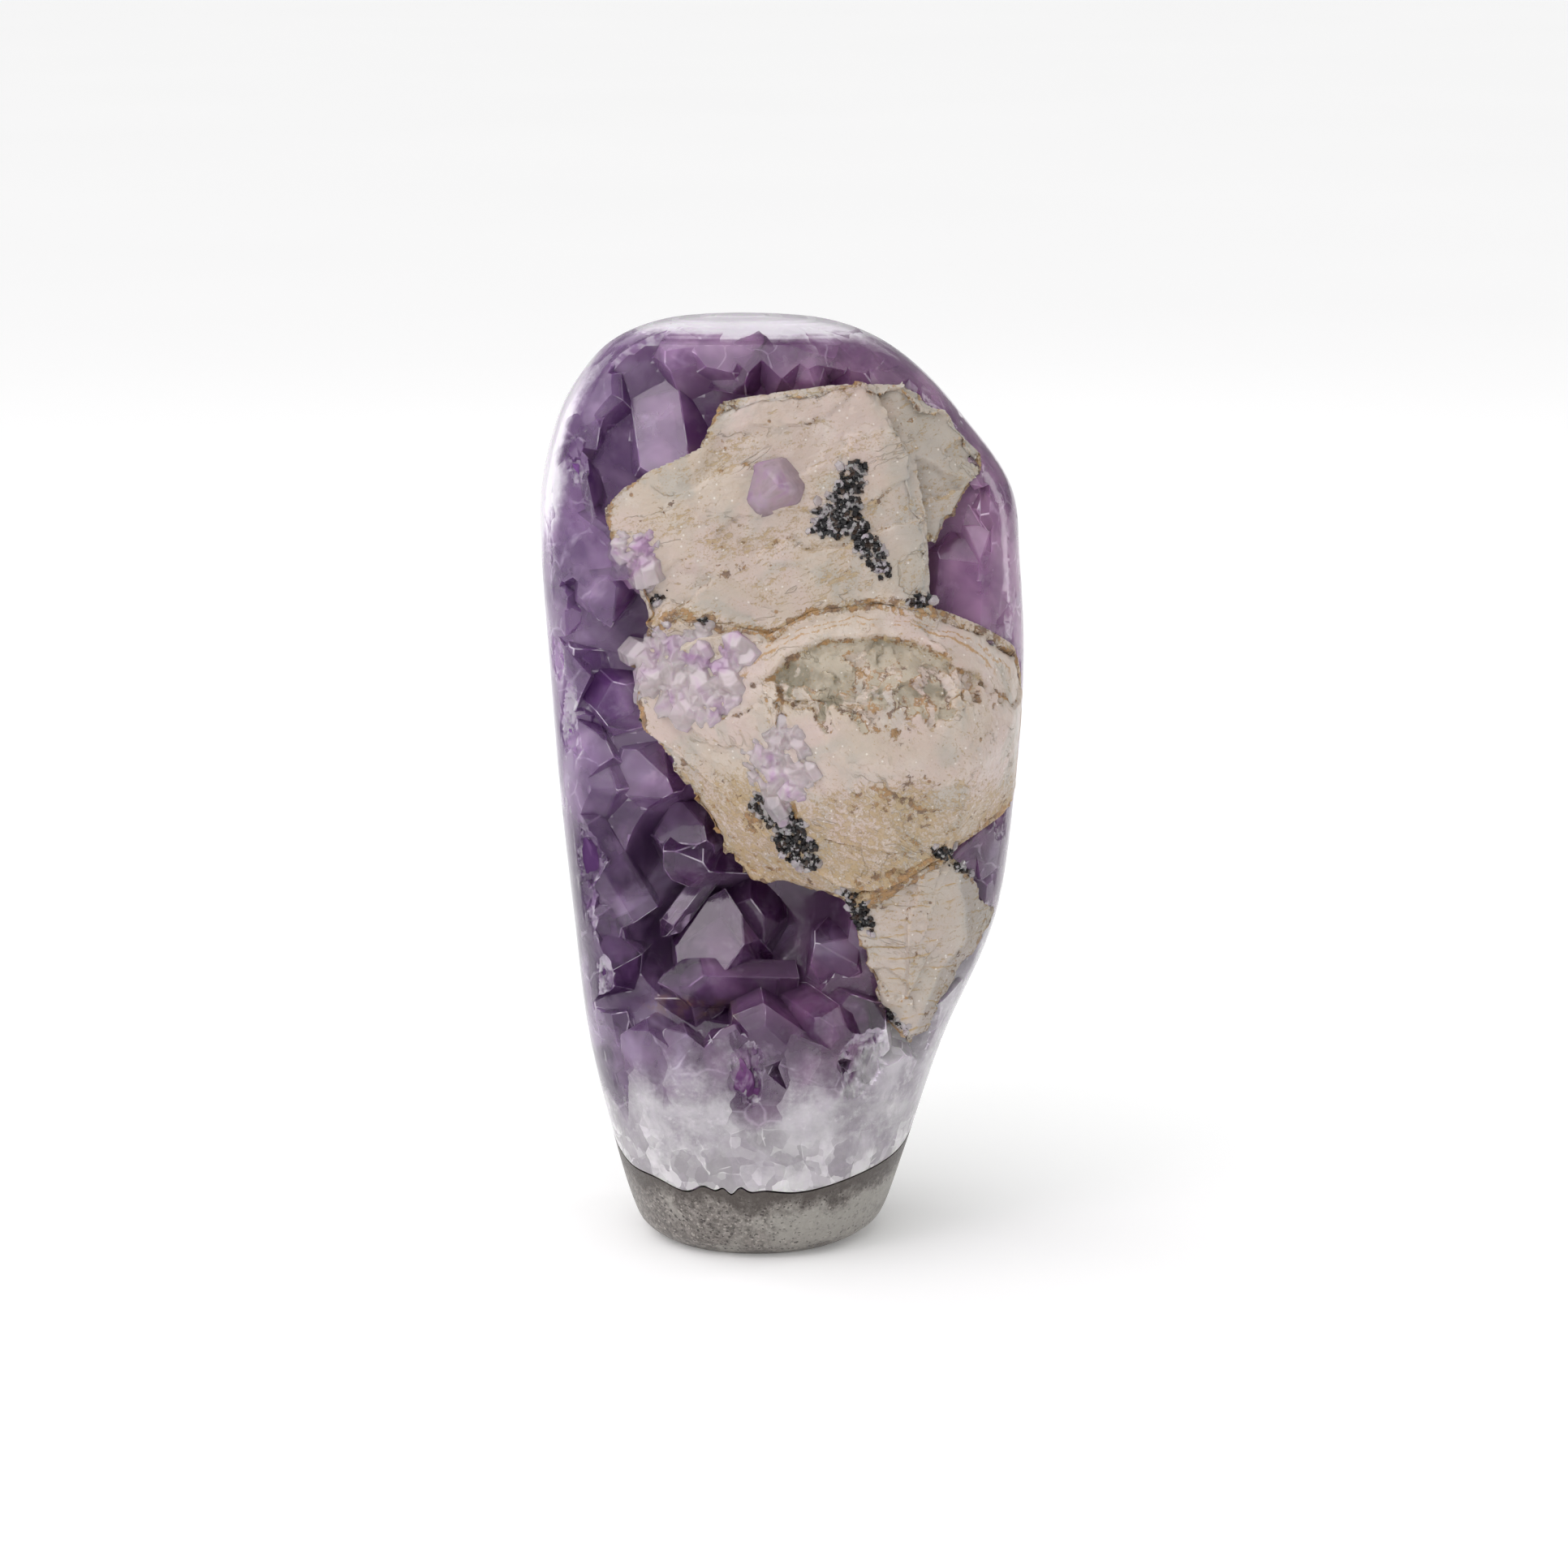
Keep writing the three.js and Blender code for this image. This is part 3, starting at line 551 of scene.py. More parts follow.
growths = [
    (tip, axis, radius, spin_from_light(axis, turn), FIRST_LARGE + index)
    for index, (tip, axis, radius, turn) in enumerate(LARGE_CRYSTALS)
]
columns = math.ceil(FILL["width"] / FILL["step_x"])
rows = math.ceil((HOLLOW["top"] - HOLLOW["bottom"]) / FILL["step_z"])
for number in range(rows * columns):
    row, column = divmod(number, columns)
    x = FILL["left"] + (column + (row % 2) / 2) * FILL["step_x"]
    z = HOLLOW["bottom"] + FILL["over_bottom"] + row * FILL["step_z"]
    x += spread(number, 21, -FILL["jitter"], FILL["jitter"])
    z += spread(number, 22, -FILL["jitter"], FILL["jitter"])
    depth = front_of(floor_tree, x, z)
    if depth is None or front_of(calcite_tree, x, z) is not None:
        continue
    in_pocket = [(at - POCKET["centre"][way]) / POCKET["half"][way] for at, way in ((x, 0), (z, 2))]
    if math.hypot(*in_pocket) < 1 or math.hypot(x - LIT_SPOT[0], z - LIT_SPOT[1]) < LIT_SPOT[2]:
        continue
    apart = [
        math.hypot(x - tip[0], z - tip[2]) - wide * CLEAR_SHARE - FILL["keep_off"]
        for tip, _, wide, _ in LARGE_CRYSTALS
    ]
    if min(apart) < 0:
        continue
    slopes = []
    for dx, dz in ((SLOPE_STEP, 0), (0, SLOPE_STEP)):
        after, before = front_of(floor_tree, x + dx, z + dz), front_of(floor_tree, x - dx, z - dz)
        slope = 0 if after is None or before is None else (after - before) / SLOPE_STEP / 2
        slopes.append(min(max(slope, -STEEPEST), STEEPEST))
    axis = Vector((slopes[0], -1, slopes[1])).normalized()
    axis.x += spread(number, 23, -FILL["lean"], FILL["lean"])
    axis.z += spread(number, 24, -FILL["lean"], FILL["lean"])
    axis.normalize()
    tip = Vector((x, depth, z)) + axis * spread(number, 25, *FILL["stand"])
    growths.append((tip, axis, spread(number, 26, *FILL["radius"]), chance(number, 27) * math.pi, number))
for index in range(POCKET_FILL["rows"] * POCKET_FILL["per_row"]):
    number = FIRST_POCKET + index
    row, place = divmod(index, POCKET_FILL["per_row"])
    rise = math.radians(-POCKET_FILL["tilt"] + 2 * POCKET_FILL["tilt"] * row / (POCKET_FILL["rows"] - 1))
    turn = (place + 0.5 + (row % 2) / 3) / POCKET_FILL["per_row"] * math.pi
    foot = Vector(on_box(POCKET, rise, turn))
    axis = (Vector(POCKET_FILL["mouth"]) - foot).normalized()
    tip = foot + axis * spread(number, 25, *POCKET_FILL["stand"])
    radius = spread(number, 26, *POCKET_FILL["radius"])
    reach = radius * CLEAR_SHARE
    if any(front_of(calcite_tree, tip.x + step * reach, tip.z) is not None for step in (-1, 0, 1)):
        continue
    if any((Vector(other) - tip).length < wide * CLEAR_SHARE for other, _, wide, _ in LARGE_CRYSTALS):
        continue
    growths.append((tip, axis, radius, chance(number, 27) * math.pi, number))


def on_ground(height, across):
    """A place on the ground front of the slab, and the way out of it."""
    height, left, right, front, _ = station_of_height(height)
    half, roundness = (right - left) / 2, roundness_at(height)
    deep = (1 - abs(across) ** roundness) ** (1 / roundness)
    way = Vector((signed_power(across, roundness - 1) / half, -(deep ** (roundness - 1)) / -front, 0))
    return Vector(((left + right) / 2 + across * half, front * deep, height)), way.normalized()


rim_places = []
sides = round((HOLLOW["top"] - HOLLOW["bottom"]) / RIM_GROWTH["step"])
for step in range(sides):
    height = HOLLOW["bottom"] + 4 + (step + 0.5) / sides * (HOLLOW["top"] - HOLLOW["bottom"] - 6)
    for side in (-1, 1):
        across = side * RIM_GROWTH["side"] + spread(len(rim_places), 101, -0.05, 0.02) * side
        rim_places.append((height, across))
for height, count, left_end, right_end in RIM_ROWS:
    for step in range(count):
        across = left_end + (right_end - left_end) * (step + 0.5) / count
        rim_places.append((height + spread(len(rim_places), 102, -1.6, 1.6), across))
for index, (height, across) in enumerate(rim_places):
    number = FIRST_RIM + index
    place, out = on_ground(height, across)
    hides_lit = math.hypot(place.x - LIT_SPOT[0], place.z - LIT_SPOT[1]) < LIT_SPOT[2]
    if hides_lit or front_of(calcite_tree, place.x, place.z) is not None:
        continue
    inward = Vector((-place.x * 0.012, 0, (RIM_GROWTH["middle"] - place.z) * 0.006))
    most = RIM_GROWTH["lean"]
    lean = Vector([spread(number, value, -most, most) for value in (103, 104, 105)])
    axis = (out + inward + lean).normalized()
    wider, higher = (1, 1) if abs(across) > SIDE_FROM else (FRONT_WIDER, FRONT_HIGHER)
    wide = spread(number, 26, *RIM_GROWTH["radius"]) * wider
    tip = place + axis * spread(number, 28, *RIM_GROWTH["over"]) * higher
    growths.append((tip, axis, wide, chance(number, 27) * math.pi, number))

crystals = joined([quartz_crystal(f"crystal_{growth[-1]}", *growth) for growth in growths])
SURFACES = [bpy.data.materials.new(name) for name in ("plain", "crystal_face", "broken")]


def mark_surface(piece, number):
    """Marks all faces of a piece as one kind of surface, which they keep when pieces are joined or cut."""
    for surface in SURFACES:
        piece.data.materials.append(surface)
    piece.data.polygons.foreach_set("material_index", [number] * len(piece.data.polygons))
    return piece


mark_surface(crust, 0)
mark_surface(crystals, 1)
for tool in (ground_slab("outside"), rounded_box("bowl", BOWL)):
    combine(crystals, mark_surface(tool, 0), "INTERSECT")
combine(crust, crystals, "UNION")


def cell_tilt(place, size, seed):
    """A height that rises across each cell of a broken surface in that cell's own direction."""
    _, points = noise.voronoi(place / size + Vector((seed, 0, 0)))
    number = round(points[0].x * 97 + points[0].y * 57 + points[0].z * 31)
    way = Vector([spread(number, value, -1, 1) for value in (81, 82, 83)])
    return (place / size + Vector((seed, 0, 0)) - points[0]).dot(way) * size


def splinter(name, middle, radius):
    """A lump with a stepped surface, which leaves a shallow broken spot where it is cut out."""
    form = bmesh.new()
    bmesh.ops.create_icosphere(form, subdivisions=5, radius=1)
    for corner in form.verts:
        way = corner.co.normalized()
        place = middle + way * radius
        reach = radius * (1 + 0.2 * noise.noise(place / 4)) + 0.4 * cell_tilt(place, 1.5, 3)
        corner.co = (middle + Vector((way.x * 0.8, way.y, way.z * 1.4)) * reach) * MM
    return from_form(name, form)


BREAK_OUT = 0.68  # how far out of the ground a splinter's middle lies, as a share of its radius
for index, (height, across, radius) in enumerate(BREAKS):
    place, out = on_ground(height, across)
    lump = splinter(f"break_{index}", place + out * radius * BREAK_OUT, radius)
    combine(crust, mark_surface(lump, 2), "DIFFERENCE")


@functools.cache
def station_near(tenths):
    return station_of_height(tenths / 10)


def ground_share(place):
    """1 on the ground outside of the slab, less inside it."""
    height, left, right, front, back = station_near(round(place.z * 10))
    across = abs(place.x - (left + right) / 2) / ((right - left) / 2)
    deep = abs(place.y) / (back if place.y > 0 else -front)
    return across ** roundness_at(height) + deep ** roundness_at(height)


TONE_WAVES = Vector((11, 8, 13))  # how fast the tone changes with the way that a face looks
GROUND_FROM, GROUND_ABOVE = 0.985, 10  # ground share and height from which a face counts as ground
WORN_WIDTH = 0.24  # narrower faces are worn edges, which are also painted lighter as a highlight


def mark_faces(piece):
    """Marks each face: its tone, the same over a plane, and whether it is ground, a worn edge (also given a
    painted highlight) or broken.
    """
    tones, ground, worn, broken = [], [], [], []
    for face in piece.data.polygons:
        place = face.center / MM
        polished = face.material_index != 2 and ground_share(place) > GROUND_FROM and place.z > GROUND_ABOVE
        tone = 0.5 + 0.5 * math.sin(face.normal.dot(TONE_WAVES))
        round_trip = sum(
            (piece.data.vertices[a].co - piece.data.vertices[b].co).length / MM for a, b in face.edge_keys
        )
        width = 2 * face.area / MM ** 2 / max(round_trip, 0.001)
        tones.append(tone if face.material_index == 1 and not polished else 0.5)
        ground.append(1.0 if polished else 0.0)
        worn.append(0.0 if polished or width > WORN_WIDTH else 1.0)
        broken.append(1.0 if face.material_index == 2 else 0.0)
    piece.data.polygons.foreach_set("material_index", [0] * len(tones))
    for name, values in (("tone", tones), ("ground", ground), ("worn", worn), ("broken", broken)):
        piece.data.attributes.new(name, "FLOAT", "FACE").data.foreach_set("value", values)


# The cloudy roots lie inside the clear quartz, this far under its ground, its hollow and its rim.
ROOT_UNDER, ROOT_BEHIND, ROOT_BESIDE = 0.7, 2.5, 1.5
roots = ground_slab("milky_roots", ROOT_UNDER)
combine(roots, rounded_box("bowl", BOWL, -SEAM), "INTERSECT")
combine(roots, front_hollow("hollow", ROOT_BEHIND, ROOT_BESIDE), "DIFFERENCE")
combine(roots, rounded_box("pocket", POCKET, ROOT_BEHIND, sides=48), "DIFFERENCE")
cores = joined([
    quartz_crystal(
        f"core_{number}", Vector(tip) - Vector(axis).normalized() * spread(number, 41, *CORE_TIP), axis,
        radius * CORE_SHARE, spin, number, CRYSTAL_LENGTH - CORE_TIP[1] - 1, 0.6,
    )
    for tip, axis, radius, spin, number in growths
])
combine(cores, ground_slab("outside", ROOT_UNDER), "INTERSECT")
combine(cores, rounded_box("bowl", BOWL, -SEAM), "INTERSECT")
combine(roots, cores, "UNION")


def violet_zones(place, nearer=0.0):
    """The colour of cloudy amethyst: white at the root, then lilac and violet in blurred zones."""
    drift = place.clouds(15, 3, 0.55, 0.6)
    x, y, z = place.parts()
    high = z.rise(66, 84)
    # Further back in the hollow the violet is darker, less so high up: painted shade between the crystals.
    deep = place.clouds(8, 3, 0.55, 0.4) + y.rise(-19, -9) * (0.18 - high * 0.14) + high * 0.02
    deep = deep - x.rise(18, 28) * z.rise(90, 98) * 0.1 + z.rise(46, 39) * 0.1
    cool = deep.rise(0.36, 0.66).tint(
        high.tint((0.29, 0.16, 0.355), (0.45, 0.285, 0.52)),
        high.tint((0.078, 0.029, 0.11), (0.17, 0.066, 0.235)),
    )
    warm = deep.rise(0.36, 0.66).tint(
        high.tint((0.35, 0.16, 0.33), (0.54, 0.295, 0.495)),
        high.tint((0.11, 0.034, 0.115), (0.235, 0.085, 0.235)),
    )
    violet = (x / 40 + drift).rise(-0.35, 0.65).tint(cool, warm)
    violet = drift.rise(0.54, 0.72).tint(violet, (0.46, 0.34, 0.53))
    near_back = place.vector("MULTIPLY", (0, 1, 1)).vector("ADD", (BOWL["centre"][0], 0, 0))
    # The left rim is whiter: partly milky quartz, partly a painted reflection of the bright surroundings at
    # its grazing edge.
    left_rim_milk_and_sheen = (x.rise(-27, -38) * z.rise(104, 128) * 0.34 + x.rise(-32, -39.5) * 0.22) * y.rise(6, -5)
    low = z + (place.clouds(10, 4, 0.6) - 0.5) * 20
    right_foot = (x - z * 0.61 + 5.8).rise(-4, 2) * low.rise(62, 54) * 0.8
    away = bowl_size(near_back) + nearer + left_rim_milk_and_sheen + right_foot
    # Whiter along the top edge, partly milky quartz and partly a painted highlight, and whiter low down where
    # the milky roots show.
    away = away + z.rise(147, 151) * 0.3 + z.rise(31, 19) * 0.14
    bent = place.bent(6.25, 3.0, 3)
    crystal = bent.vector("MULTIPLY", (1, 1, 0.7)).cell_number(7, 2)
    root = (away + (place.clouds(9, 5, 0.65) - 0.5) * 0.42 + (crystal - 0.5) * 0.18).rise(0.75, 0.98)
    piece = bent.cell_number(5, 0) * 0.55 + bent.cell_number(2, 1) * 0.45
    line = bent.cells(5, "DISTANCE_TO_EDGE").rise(0.03, 0.0) * place.clouds(3, 2, 0.5).rise(0.45, 0.6)
    broken = (bowl_size(near_back) + (place.clouds(6, 4, 0.65) - 0.5) * 0.4).rise(0.84, 0.99)
    white = painted(
        place.clouds(8, 5, 0.65, 0.3).rise(0.3, 0.7).tint((0.235, 0.22, 0.235), (0.54, 0.525, 0.54)),
        (place.clouds(2.4, 5, 0.75).rise(0.52, 0.7) * 0.45, (0.76, 0.75, 0.755)),
        (high * 0.75, (0.84, 0.81, 0.86)),
        (broken * 0.8, piece.rise(0.25, 0.8).tint((0.26, 0.25, 0.25), (0.78, 0.77, 0.765))),
        (line * broken * 0.5, (0.88, 0.87, 0.87)),
    )
    return root.tint(violet, white), root


def mark(place, name):
    return place.node("ShaderNodeAttribute", {"attribute_name": name}, None, "Fac")


def amethyst_material():
    made, place = new_material("amethyst")
    tone, ground, worn, broken = [mark(place, name) for name in ("tone", "ground", "worn", "broken")]
    zones, root = violet_zones(place, ground * 0.04)
    veil = place.clouds(9, 4, 0.7, 0.4).rise(0.56, 0.74)
    bent = place.bent(10, 2.0, 7)
    sector = bent.cell_number(9, 0)
    seam = bent.cells(9, "DISTANCE_TO_EDGE").rise(0.035, 0.0) * place.clouds(4, 3, 0.6).rise(0.4, 0.6)
    haze = place.clouds(11, 2, 0.5, 0.5).rise(0.3, 0.75) * 0.3 + tone * 0.24 + 0.12 + root * 0.7 + veil * 0.2
    # Worn edge faces are cloudier and, below, painted lighter: partly worn chips, partly a painted highlight
    # along the crystal edges.
    haze = haze + worn * 0.3 + broken * 0.7 + seam * ground * 0.2
    shards = place.cells(0.8, output="Color").parts()
    chipped_and_highlit_edge = worn * place.clouds(4, 3, 0.6).rise(0.45, 0.6)
    x, _, z = place.parts()
    rusty = (abs((x + 15) / 8) ** 2 + abs((z - 42) / 2.2) ** 2).rise(1.3, 0.2)
    rusty = rusty * place.clouds(1.6, 4, 0.7).rise(0.42, 0.56)
    colour = painted(
        zones,
        (tone * 0.2 + veil * 0.2 + sector * ground * 0.1, (0.56, 0.46, 0.60)),
        (seam * ground * (1 - root) * 0.3, (0.74, 0.68, 0.78)),
        (
            broken * (place.clouds(2.0, 4, 0.7).rise(0.35, 0.6) * 0.5 + 0.4),
            shards[0].rise(0.3, 1.0).tint((0.30, 0.19, 0.38), (0.80, 0.76, 0.84)),
        ),
        (chipped_and_highlit_edge * 0.7, (0.8, 0.74, 0.83)),
        (rusty * 0.6, (0.34, 0.19, 0.10)),
    )
    growth_lines = place.clouds(3.2, 2, 0.5) * (1 - ground) + place.clouds(6, 4, 0.6) * ground * 2
    growth_lines = growth_lines.bump(0.07)
    scratches = (place.clouds(0.5, 2, 0.6) * (1 - ground)).bump(0.014, growth_lines)
    shattered = (shards[1] * broken).bump(0.5, scratches)
    cloudy = place.node("ShaderNodeBsdfPrincipled", None, {
        "Base Color": colour, "Roughness": 0.2 - ground * 0.07 + tone * 0.08 - broken * 0.06, "IOR": 1.54,
        "Subsurface Weight": 0.5, "Subsurface Radius": (1.0, 0.6, 1.2), "Subsurface Scale": 0.002,
        "Normal": shattered,
    })
    clear = place.node("ShaderNodeBsdfPrincipled", None, {
        "Base Color": (0.97, 0.94, 1, 1), "Roughness": 0.04, "IOR": 1.54, "Transmission Weight": 1.0,
        "Normal": shattered,
    })
    surface = place.node("ShaderNodeMixShader", None, {0: haze, 1: clear, 2: cloudy})
    inside = place.node("ShaderNodeVolumeAbsorption", None, {"Color": (0.58, 0.2, 0.66, 1), "Density": 90})
    place.node("ShaderNodeOutputMaterial", None, {"Surface": surface, "Volume": inside})
    return made


def root_material():
    made, place = new_material("milky_quartz")
    zones, _ = violet_zones(place)
    veils = place.clouds(7, 4, 0.7, 0.4).rise(0.5, 0.75)
    surface = place.node("ShaderNodeBsdfPrincipled", None, {
        "Base Color": (veils * 0.5).tint(zones, (0.62, 0.56, 0.64)), "Roughness": 0.7,
        "Specular IOR Level": 0.1,
    })
    place.node("ShaderNodeOutputMaterial", None, {"Surface": surface})
    return made


# The calcites are three blunt blades that grew over the quartz: matt, beige and slightly translucent, with
# ledges where layers end. Iron has stained the ledges orange brown, and the hollow under the rim of the
# middle one is weathered grey green, with painted shade at its left under the rim.
CALCITE_VOXEL = 0.45
LAYERS = {  # the way across the layers in x and z, their thickness, and how far they step back
    "calcite_upper": ((-0.34, 0.94), 6.4, 1.1),
    "calcite_middle": ((0.62, 0.78), 5.6, 0.9),
    "calcite_lower": ((0.06, 1.0), 2.6, 0.8),
}
STRETCH = {"calcite_upper": 0.4, "calcite_middle": 0.55, "calcite_lower": 0.2}  # of stains along the layers
RECESS = {"centre": (13.4, 96.4), "half": (18.6, 7.2), "depth": 2.0}
CLOSING = 0.4  # how far two calcites that touch grow towards each other
CHIPS = {"size": 4.2, "depth": 0.3, "bites": 1.5}
BROKEN_CORNER = [  # of the upper calcite, in x and z
    (-24, 126.4), (-20.2, 128.8), (-13.2, 132), (-9.6, 139.6), (-14, 150), (-34, 140),
]


def noisy(place, size, seed):
    return noise.noise(place / size + Vector((seed, 0, 0)))


def values_of(items, name, kind=float, width=1):
    """One value, or a row of that width, of each corner, edge or face of a mesh."""
    found = np.empty(len(items) * width, dtype=kind)
    items.foreach_get(name, found)
    return found if width == 1 else found.reshape(-1, width)


def bends(mesh, rounds):
    """How sharply the surface turns at each corner, spread over its neighbours in that many rounds."""
    count = len(mesh.vertices)
    normals = values_of(mesh.vertices, "normal", width=3)
    a, b = values_of(mesh.edges, "vertices", int, 2).T
    turn = 1 - (normals[a] * normals[b]).sum(axis=1)
    degree = np.bincount(a, minlength=count) + np.bincount(b, minlength=count)
    value = (np.bincount(a, turn, count) + np.bincount(b, turn, count)) / degree
    for _ in range(rounds):
        value = (value + (np.bincount(a, value[b], count) + np.bincount(b, value[a], count)) / degree) / 2
    return value / np.percentile(value, 97)


def on_slab(place):
    """The place itself, or the one next to it on the ground outside of the slab when it lies beyond it."""
    size = ground_share(place)
    if size <= 1.001:
        return place
    _, left, right, _, _ = station_near(round(place.z * 10))
    middle, scale = (left + right) / 2, (size / 1.001) ** (-1 / roundness_at(place.z))
    return Vector((middle + (place.x - middle) * scale, place.y * scale, place.z))


def out_to_ground(place):
    """Moves a place on the right side forwards to the ground outside of the slab."""
    _, left, right, front, _ = station_near(round(place.z * 10))
    across = (place.x - (left + right) / 2) / ((right - left) / 2)
    if not 0 < across < 1:
        return place
    roundness = roundness_at(place.z)
    ground = front * (1 - across ** roundness) ** (1 / roundness)
    share = smooth_step(across, 0.6, 0.78) * smooth_step(place.y, -5, -9)
    return Vector((place.x, place.y + min(ground - place.y, 0) * share, place.z))


def recess_place(place):
    """How far a place is from the middle of the hollow under the rim, 1 on its edge, and how high in it."""
    u = (place.x - RECESS["centre"][0]) / RECESS["half"][0]
    v = (place.z - RECESS["centre"][1] + 2.2 * u * u - 0.8) / RECESS["half"][1]
    return math.hypot(u, v), v


def remeshed(piece, voxel, rounds):
    """Gives a piece an even mesh, smoothed in that many rounds."""
    remesh = piece.modifiers.new("voxels", "REMESH")
    remesh.mode = "VOXEL"
    remesh.voxel_size = voxel * MM
    smooth = piece.modifiers.new("smooth", "SMOOTH")
    smooth.factor, smooth.iterations = 0.5, rounds
    settle(piece)
    return piece.data


def weathered(node):
    """A calcite with its ledges, chips and hollow, whose corners say how stained and weathered they are."""
    (across_x, across_z), thickness, step_back = LAYERS[node]
    neighbours = tree_of(*(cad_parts[other] for other in CALCITES if other != node))
    piece = placed(node + "_stone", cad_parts[node].data.copy())
    if node == "calcite_upper":
        piece.modifiers.new("weld", "WELD").merge_threshold = 0.001 * MM
        missing = skin("missing_corner", [[(x, y, z) for x, z in BROKEN_CORNER] for y in (5, -45)])
        combine(piece, missing, "DIFFERENCE")
    mesh = remeshed(piece, CALCITE_VOXEL, 3)
    rims = bends(mesh, 12)
    stain, weather, moved = [], [], []
    for corner, rim in zip(mesh.vertices, rims):
        place = corner.co / MM
        rim = min(rim, 1.0)
        warp = 5 * noisy(place, 17, 1) + 2 * noisy(place, 5, 2) + 0.7 * noisy(place, 1.6, 19)
        height = (place.x * across_x + place.z * across_z + warp) / thickness
        layer = math.floor(height)
        share = height - layer
        turn = smooth_step(share, 0.9, 1.0)
        here, above = chance(layer, 51), chance(layer + 1, 51)
        back = step_back * (here * (1 - turn) + above * turn)
        ledge = max(0, 1 - abs(share - 0.95) / 0.16) * min(1.0, 1.8 * abs(here - above))
        worn_through = max(0, noisy(place, 9, 14) + 0.5 * noisy(place, 3, 15) - 0.12)
        rough = 0.25 * noisy(place, 12, 3) + 0.1 * noisy(place, 1.9, 4) + 0.06 * noisy(place, 0.8, 5)
        rough += rim * 0.45 * noisy(place, 1.5, 21)
        chip = CHIPS["depth"] * rim * cell_tilt(place, CHIPS["size"], 7)
        bite = CHIPS["bites"] * rim * max(0, noisy(place, 7, 8) + 0.2 * noisy(place, 2.2, 9))
        sink = 0.35 + back - rough + max(chip, -0.5) + bite + 0.3 * min(worn_through, 0.6)
        recess, recess_rim = 0, 0
        if node == "calcite_middle":
            away, high = recess_place(place)
            lip = away + 0.1 * noisy(place, 5, 6)
            ragged = away + 0.55 * noisy(place, 5, 6) + 0.4 * noisy(place, 2.2, 10)
            edge = ragged + (lip - ragged) * smooth_step(high, -0.1, 0.5)
            recess = (1 - smooth_step(edge, 0.8, 0.96)) * smooth_step(-place.y, 17, 21)
            floor = RECESS["depth"] * (0.6 + 0.4 * high) + 1.1 * noisy(place, 5, 7)
            sink += recess * max(floor + 0.25 * cell_tilt(place, 2.6, 11), 0.2)
            recess_rim = recess * (1 - recess) * 4
        sink *= 1 + 0.5 * rim
        gap = neighbours.find_nearest(place)[3]
        apart = smooth_step(gap, 0.3, 2.4)
        sink = max(sink, 0.02) * apart - CLOSING * (1 - apart)
        size = ground_share(place)
        flush = smooth_step(size, 0.94, 0.985) * (1 - smooth_step(size, 1.03, 1.1))
        new_place = place - corner.normal * (sink * (1 - flush) - 0.2 * flush)
        if flush > 0.5:
            new_place = on_slab(new_place)
        if node == "calcite_lower":
            new_place = out_to_ground(new_place)
        moved.append(new_place * MM)
        below = smooth_step(-corner.normal.z, 0.1, 0.6) * 0.5 + smooth_step(-corner.normal.x, 0.3, 0.8) * 0.6
        contact = 0.6 * (1 - smooth_step(gap, 0.4, 1.8))
        patch = min(0.4, worn_through)
        grimy = max(0, rim - 0.25) * (0.9 + 2.4 * max(0, noisy(place, 6, 20)))
        stain.append(min(1.0, 0.5 * ledge + grimy + below + recess_rim + contact + patch))
        weather.append(recess)
    for corner, place in zip(mesh.vertices, moved):
        corner.co = place
    for name, values in (("stain", stain), ("weather", weather)):
        mesh.attributes.new(name, "FLOAT", "POINT").data.foreach_set("value", values)
    shade(piece, 40)
    return piece


